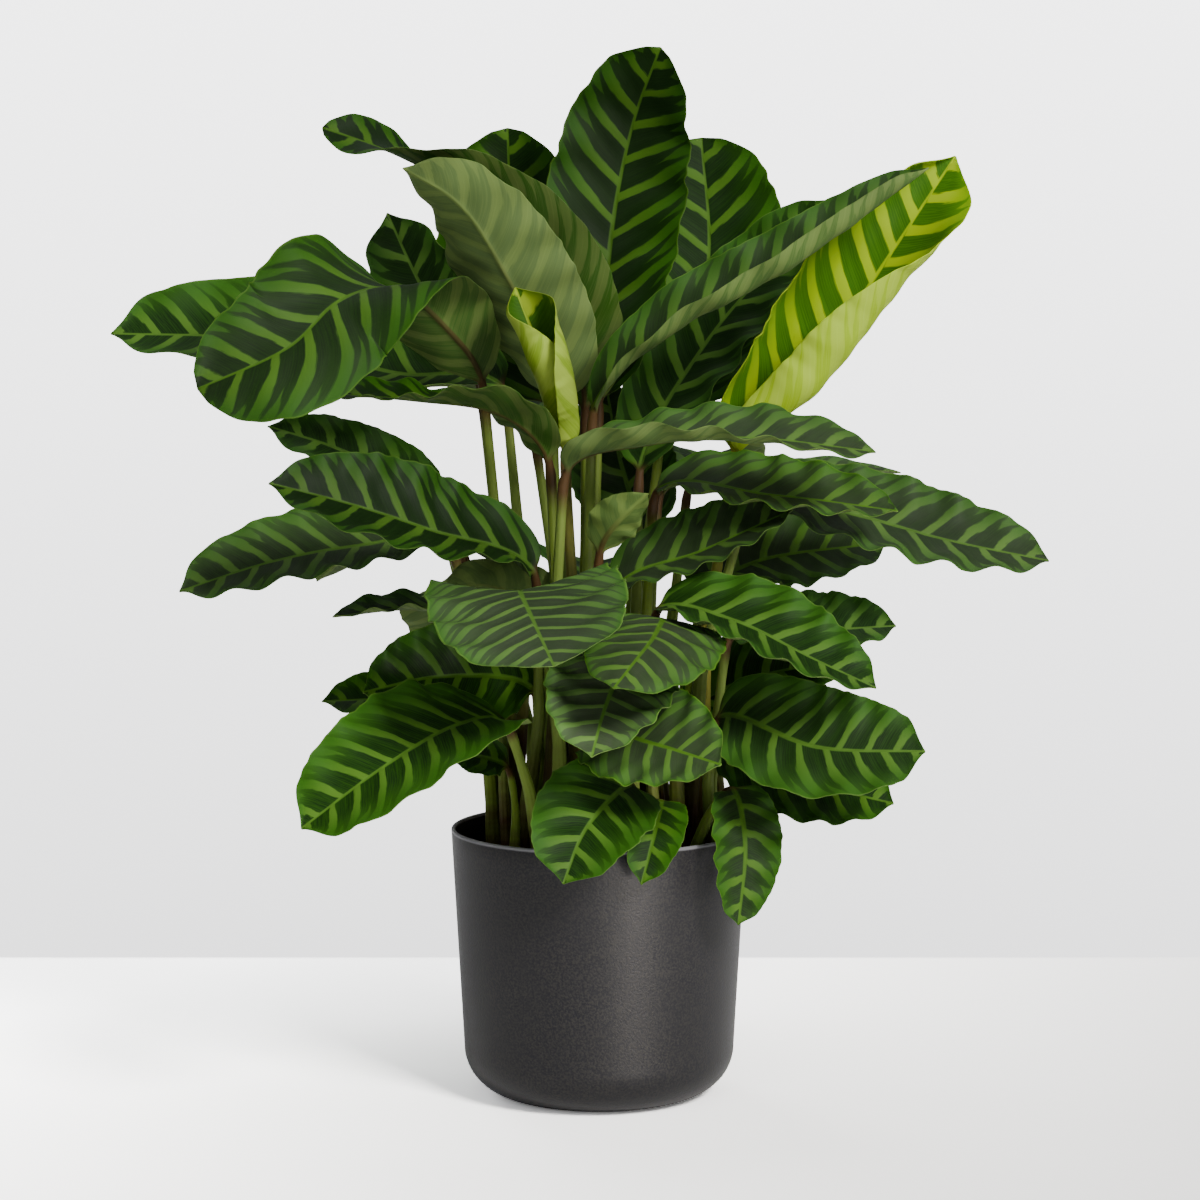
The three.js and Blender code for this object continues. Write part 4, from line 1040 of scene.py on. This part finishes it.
# Painted glow: beyond the wall line the floor glows, brighter with distance, in place of a lit wall.
rise = line(tree, sums(tree, "LOGARITHM", times(tree, far, 2.0), math.e), 0.47, 2.8)
glow = node(tree, "ShaderNodeEmission", {"Color": PALE, "Strength": rise})
wash = node(tree, "ShaderNodeEmission", {"Color": PALE, "Strength": 0.1})
# Painted falloff of light: the floor as the eye sees it grows darker to the front and the right.
side = node(tree, "ShaderNodeSeparateXYZ", {0: where}, out=0)
painted_falloff = line(tree, side, -1.22, times(tree, depth, 0.84))
painted_falloff = sums(tree, "MINIMUM", sums(tree, "MAXIMUM", painted_falloff, -0.8), 0.8)
gain = times(tree, sums(tree, "EXPONENT", painted_falloff), GAIN)
lit = node(tree, "ShaderNodeBsdfDiffuse", {"Color": gain})
near_floor = node(tree, "ShaderNodeAddShader", {0: lit, 1: wash})
as_seen = node(tree, "ShaderNodeMixShader", {0: fade, 1: near_floor, 2: glow})
seen = node(tree, "ShaderNodeLightPath")
both = node(tree, "ShaderNodeMixShader", {0: seen, 1: shader.outputs[0], 2: as_seen})
output = next(n for n in tree.nodes if n.type == "OUTPUT_MATERIAL")
tree.links.new(both, output.inputs["Surface"])
floor.data.materials.append(finish)


# %% Light
def lamp(name, place, aim, size, watts, colour):
    """A square soft lamp at place that looks at aim."""
    light = bpy.data.lights.new(name, "AREA")
    light.size = size
    light.energy = watts
    light.color = colour
    lamp_object = bpy.data.objects.new(name, light)
    bpy.context.scene.collection.objects.link(lamp_object)
    from_to = np.array(aim, float) - np.array(place, float)
    tilt = math.acos(-from_to[2] / np.linalg.norm(from_to))
    lamp_object.location = place
    lamp_object.rotation_euler = (tilt, 0, math.atan2(-from_to[0], from_to[1]))
    return lamp_object


lamp("key", (1.35, -2.1, 1.9), (0, 0, 0.4), 0.75, 125, (1.0, 0.97, 0.93))
lamp("top", (0.1, 0.8, 2.7), (0, 0, 0.4), 1.8, 24, (1.0, 1.0, 1.0))
behind = lamp("behind", (-1.3, 2.5, 0.65), (0, 0, 0.45), 1.2, 48, (1.0, 1.0, 1.0))
behind.visible_glossy = False
behind.visible_camera = False
lamp("fill", (-0.8, -2.7, 1.3), (0, 0, 0.4), 2.0, 20, (0.95, 0.98, 1.0)).visible_glossy = False
lamp("sheen", (0.95, -1.85, 0.1), (0, 0, 0.15), 0.6, 60, (1.0, 0.92, 0.84)).visible_diffuse = False
world = bpy.data.worlds.new("studio")
bpy.context.scene.world = world
world.use_nodes = True
sky = world.node_tree.nodes["Background"]
sky.inputs["Color"].default_value = PALE
tree = world.node_tree
upwards = node(tree, "ShaderNodeSeparateXYZ", {0: node(tree, "ShaderNodeTexCoord")}, out=2)
bright = sums(tree, "MINIMUM", line(tree, upwards, 9.0, 4.66), 6.0)
seen = node(tree, "ShaderNodeLightPath")
tree.links.new(sums(tree, "ADD", times(tree, seen, minus(tree, bright, SOFT)), SOFT), sky.inputs["Strength"])

# %% Camera
CAMERA_DISTANCE, CAMERA_HEIGHT = 2.5, 0.62
PICTURE = 1200  # pixels along each side of the photo
SENSOR = 36  # millimetres
FOCAL, LEVEL_FOCAL = 3395, 3361  # pixels; the second one holds for a camera that looks level
HORIZON = 263  # the row of pixels that a level look meets
TILT = math.atan((PICTURE / 2 - HORIZON) / LEVEL_FOCAL)
camera_data = bpy.data.cameras.new("camera")
camera_data.sensor_width = SENSOR
camera_data.lens = SENSOR * FOCAL / PICTURE
camera = bpy.data.objects.new("camera", camera_data)
bpy.context.scene.collection.objects.link(camera)
camera.location = (0.0007, -CAMERA_DISTANCE, CAMERA_HEIGHT)
camera.rotation_euler = (math.pi / 2 - TILT, 0, 0)
bpy.context.scene.camera = camera
print("camera tilt:", round(math.degrees(TILT), 2), "degrees, lens:", round(camera_data.lens, 1), "mm")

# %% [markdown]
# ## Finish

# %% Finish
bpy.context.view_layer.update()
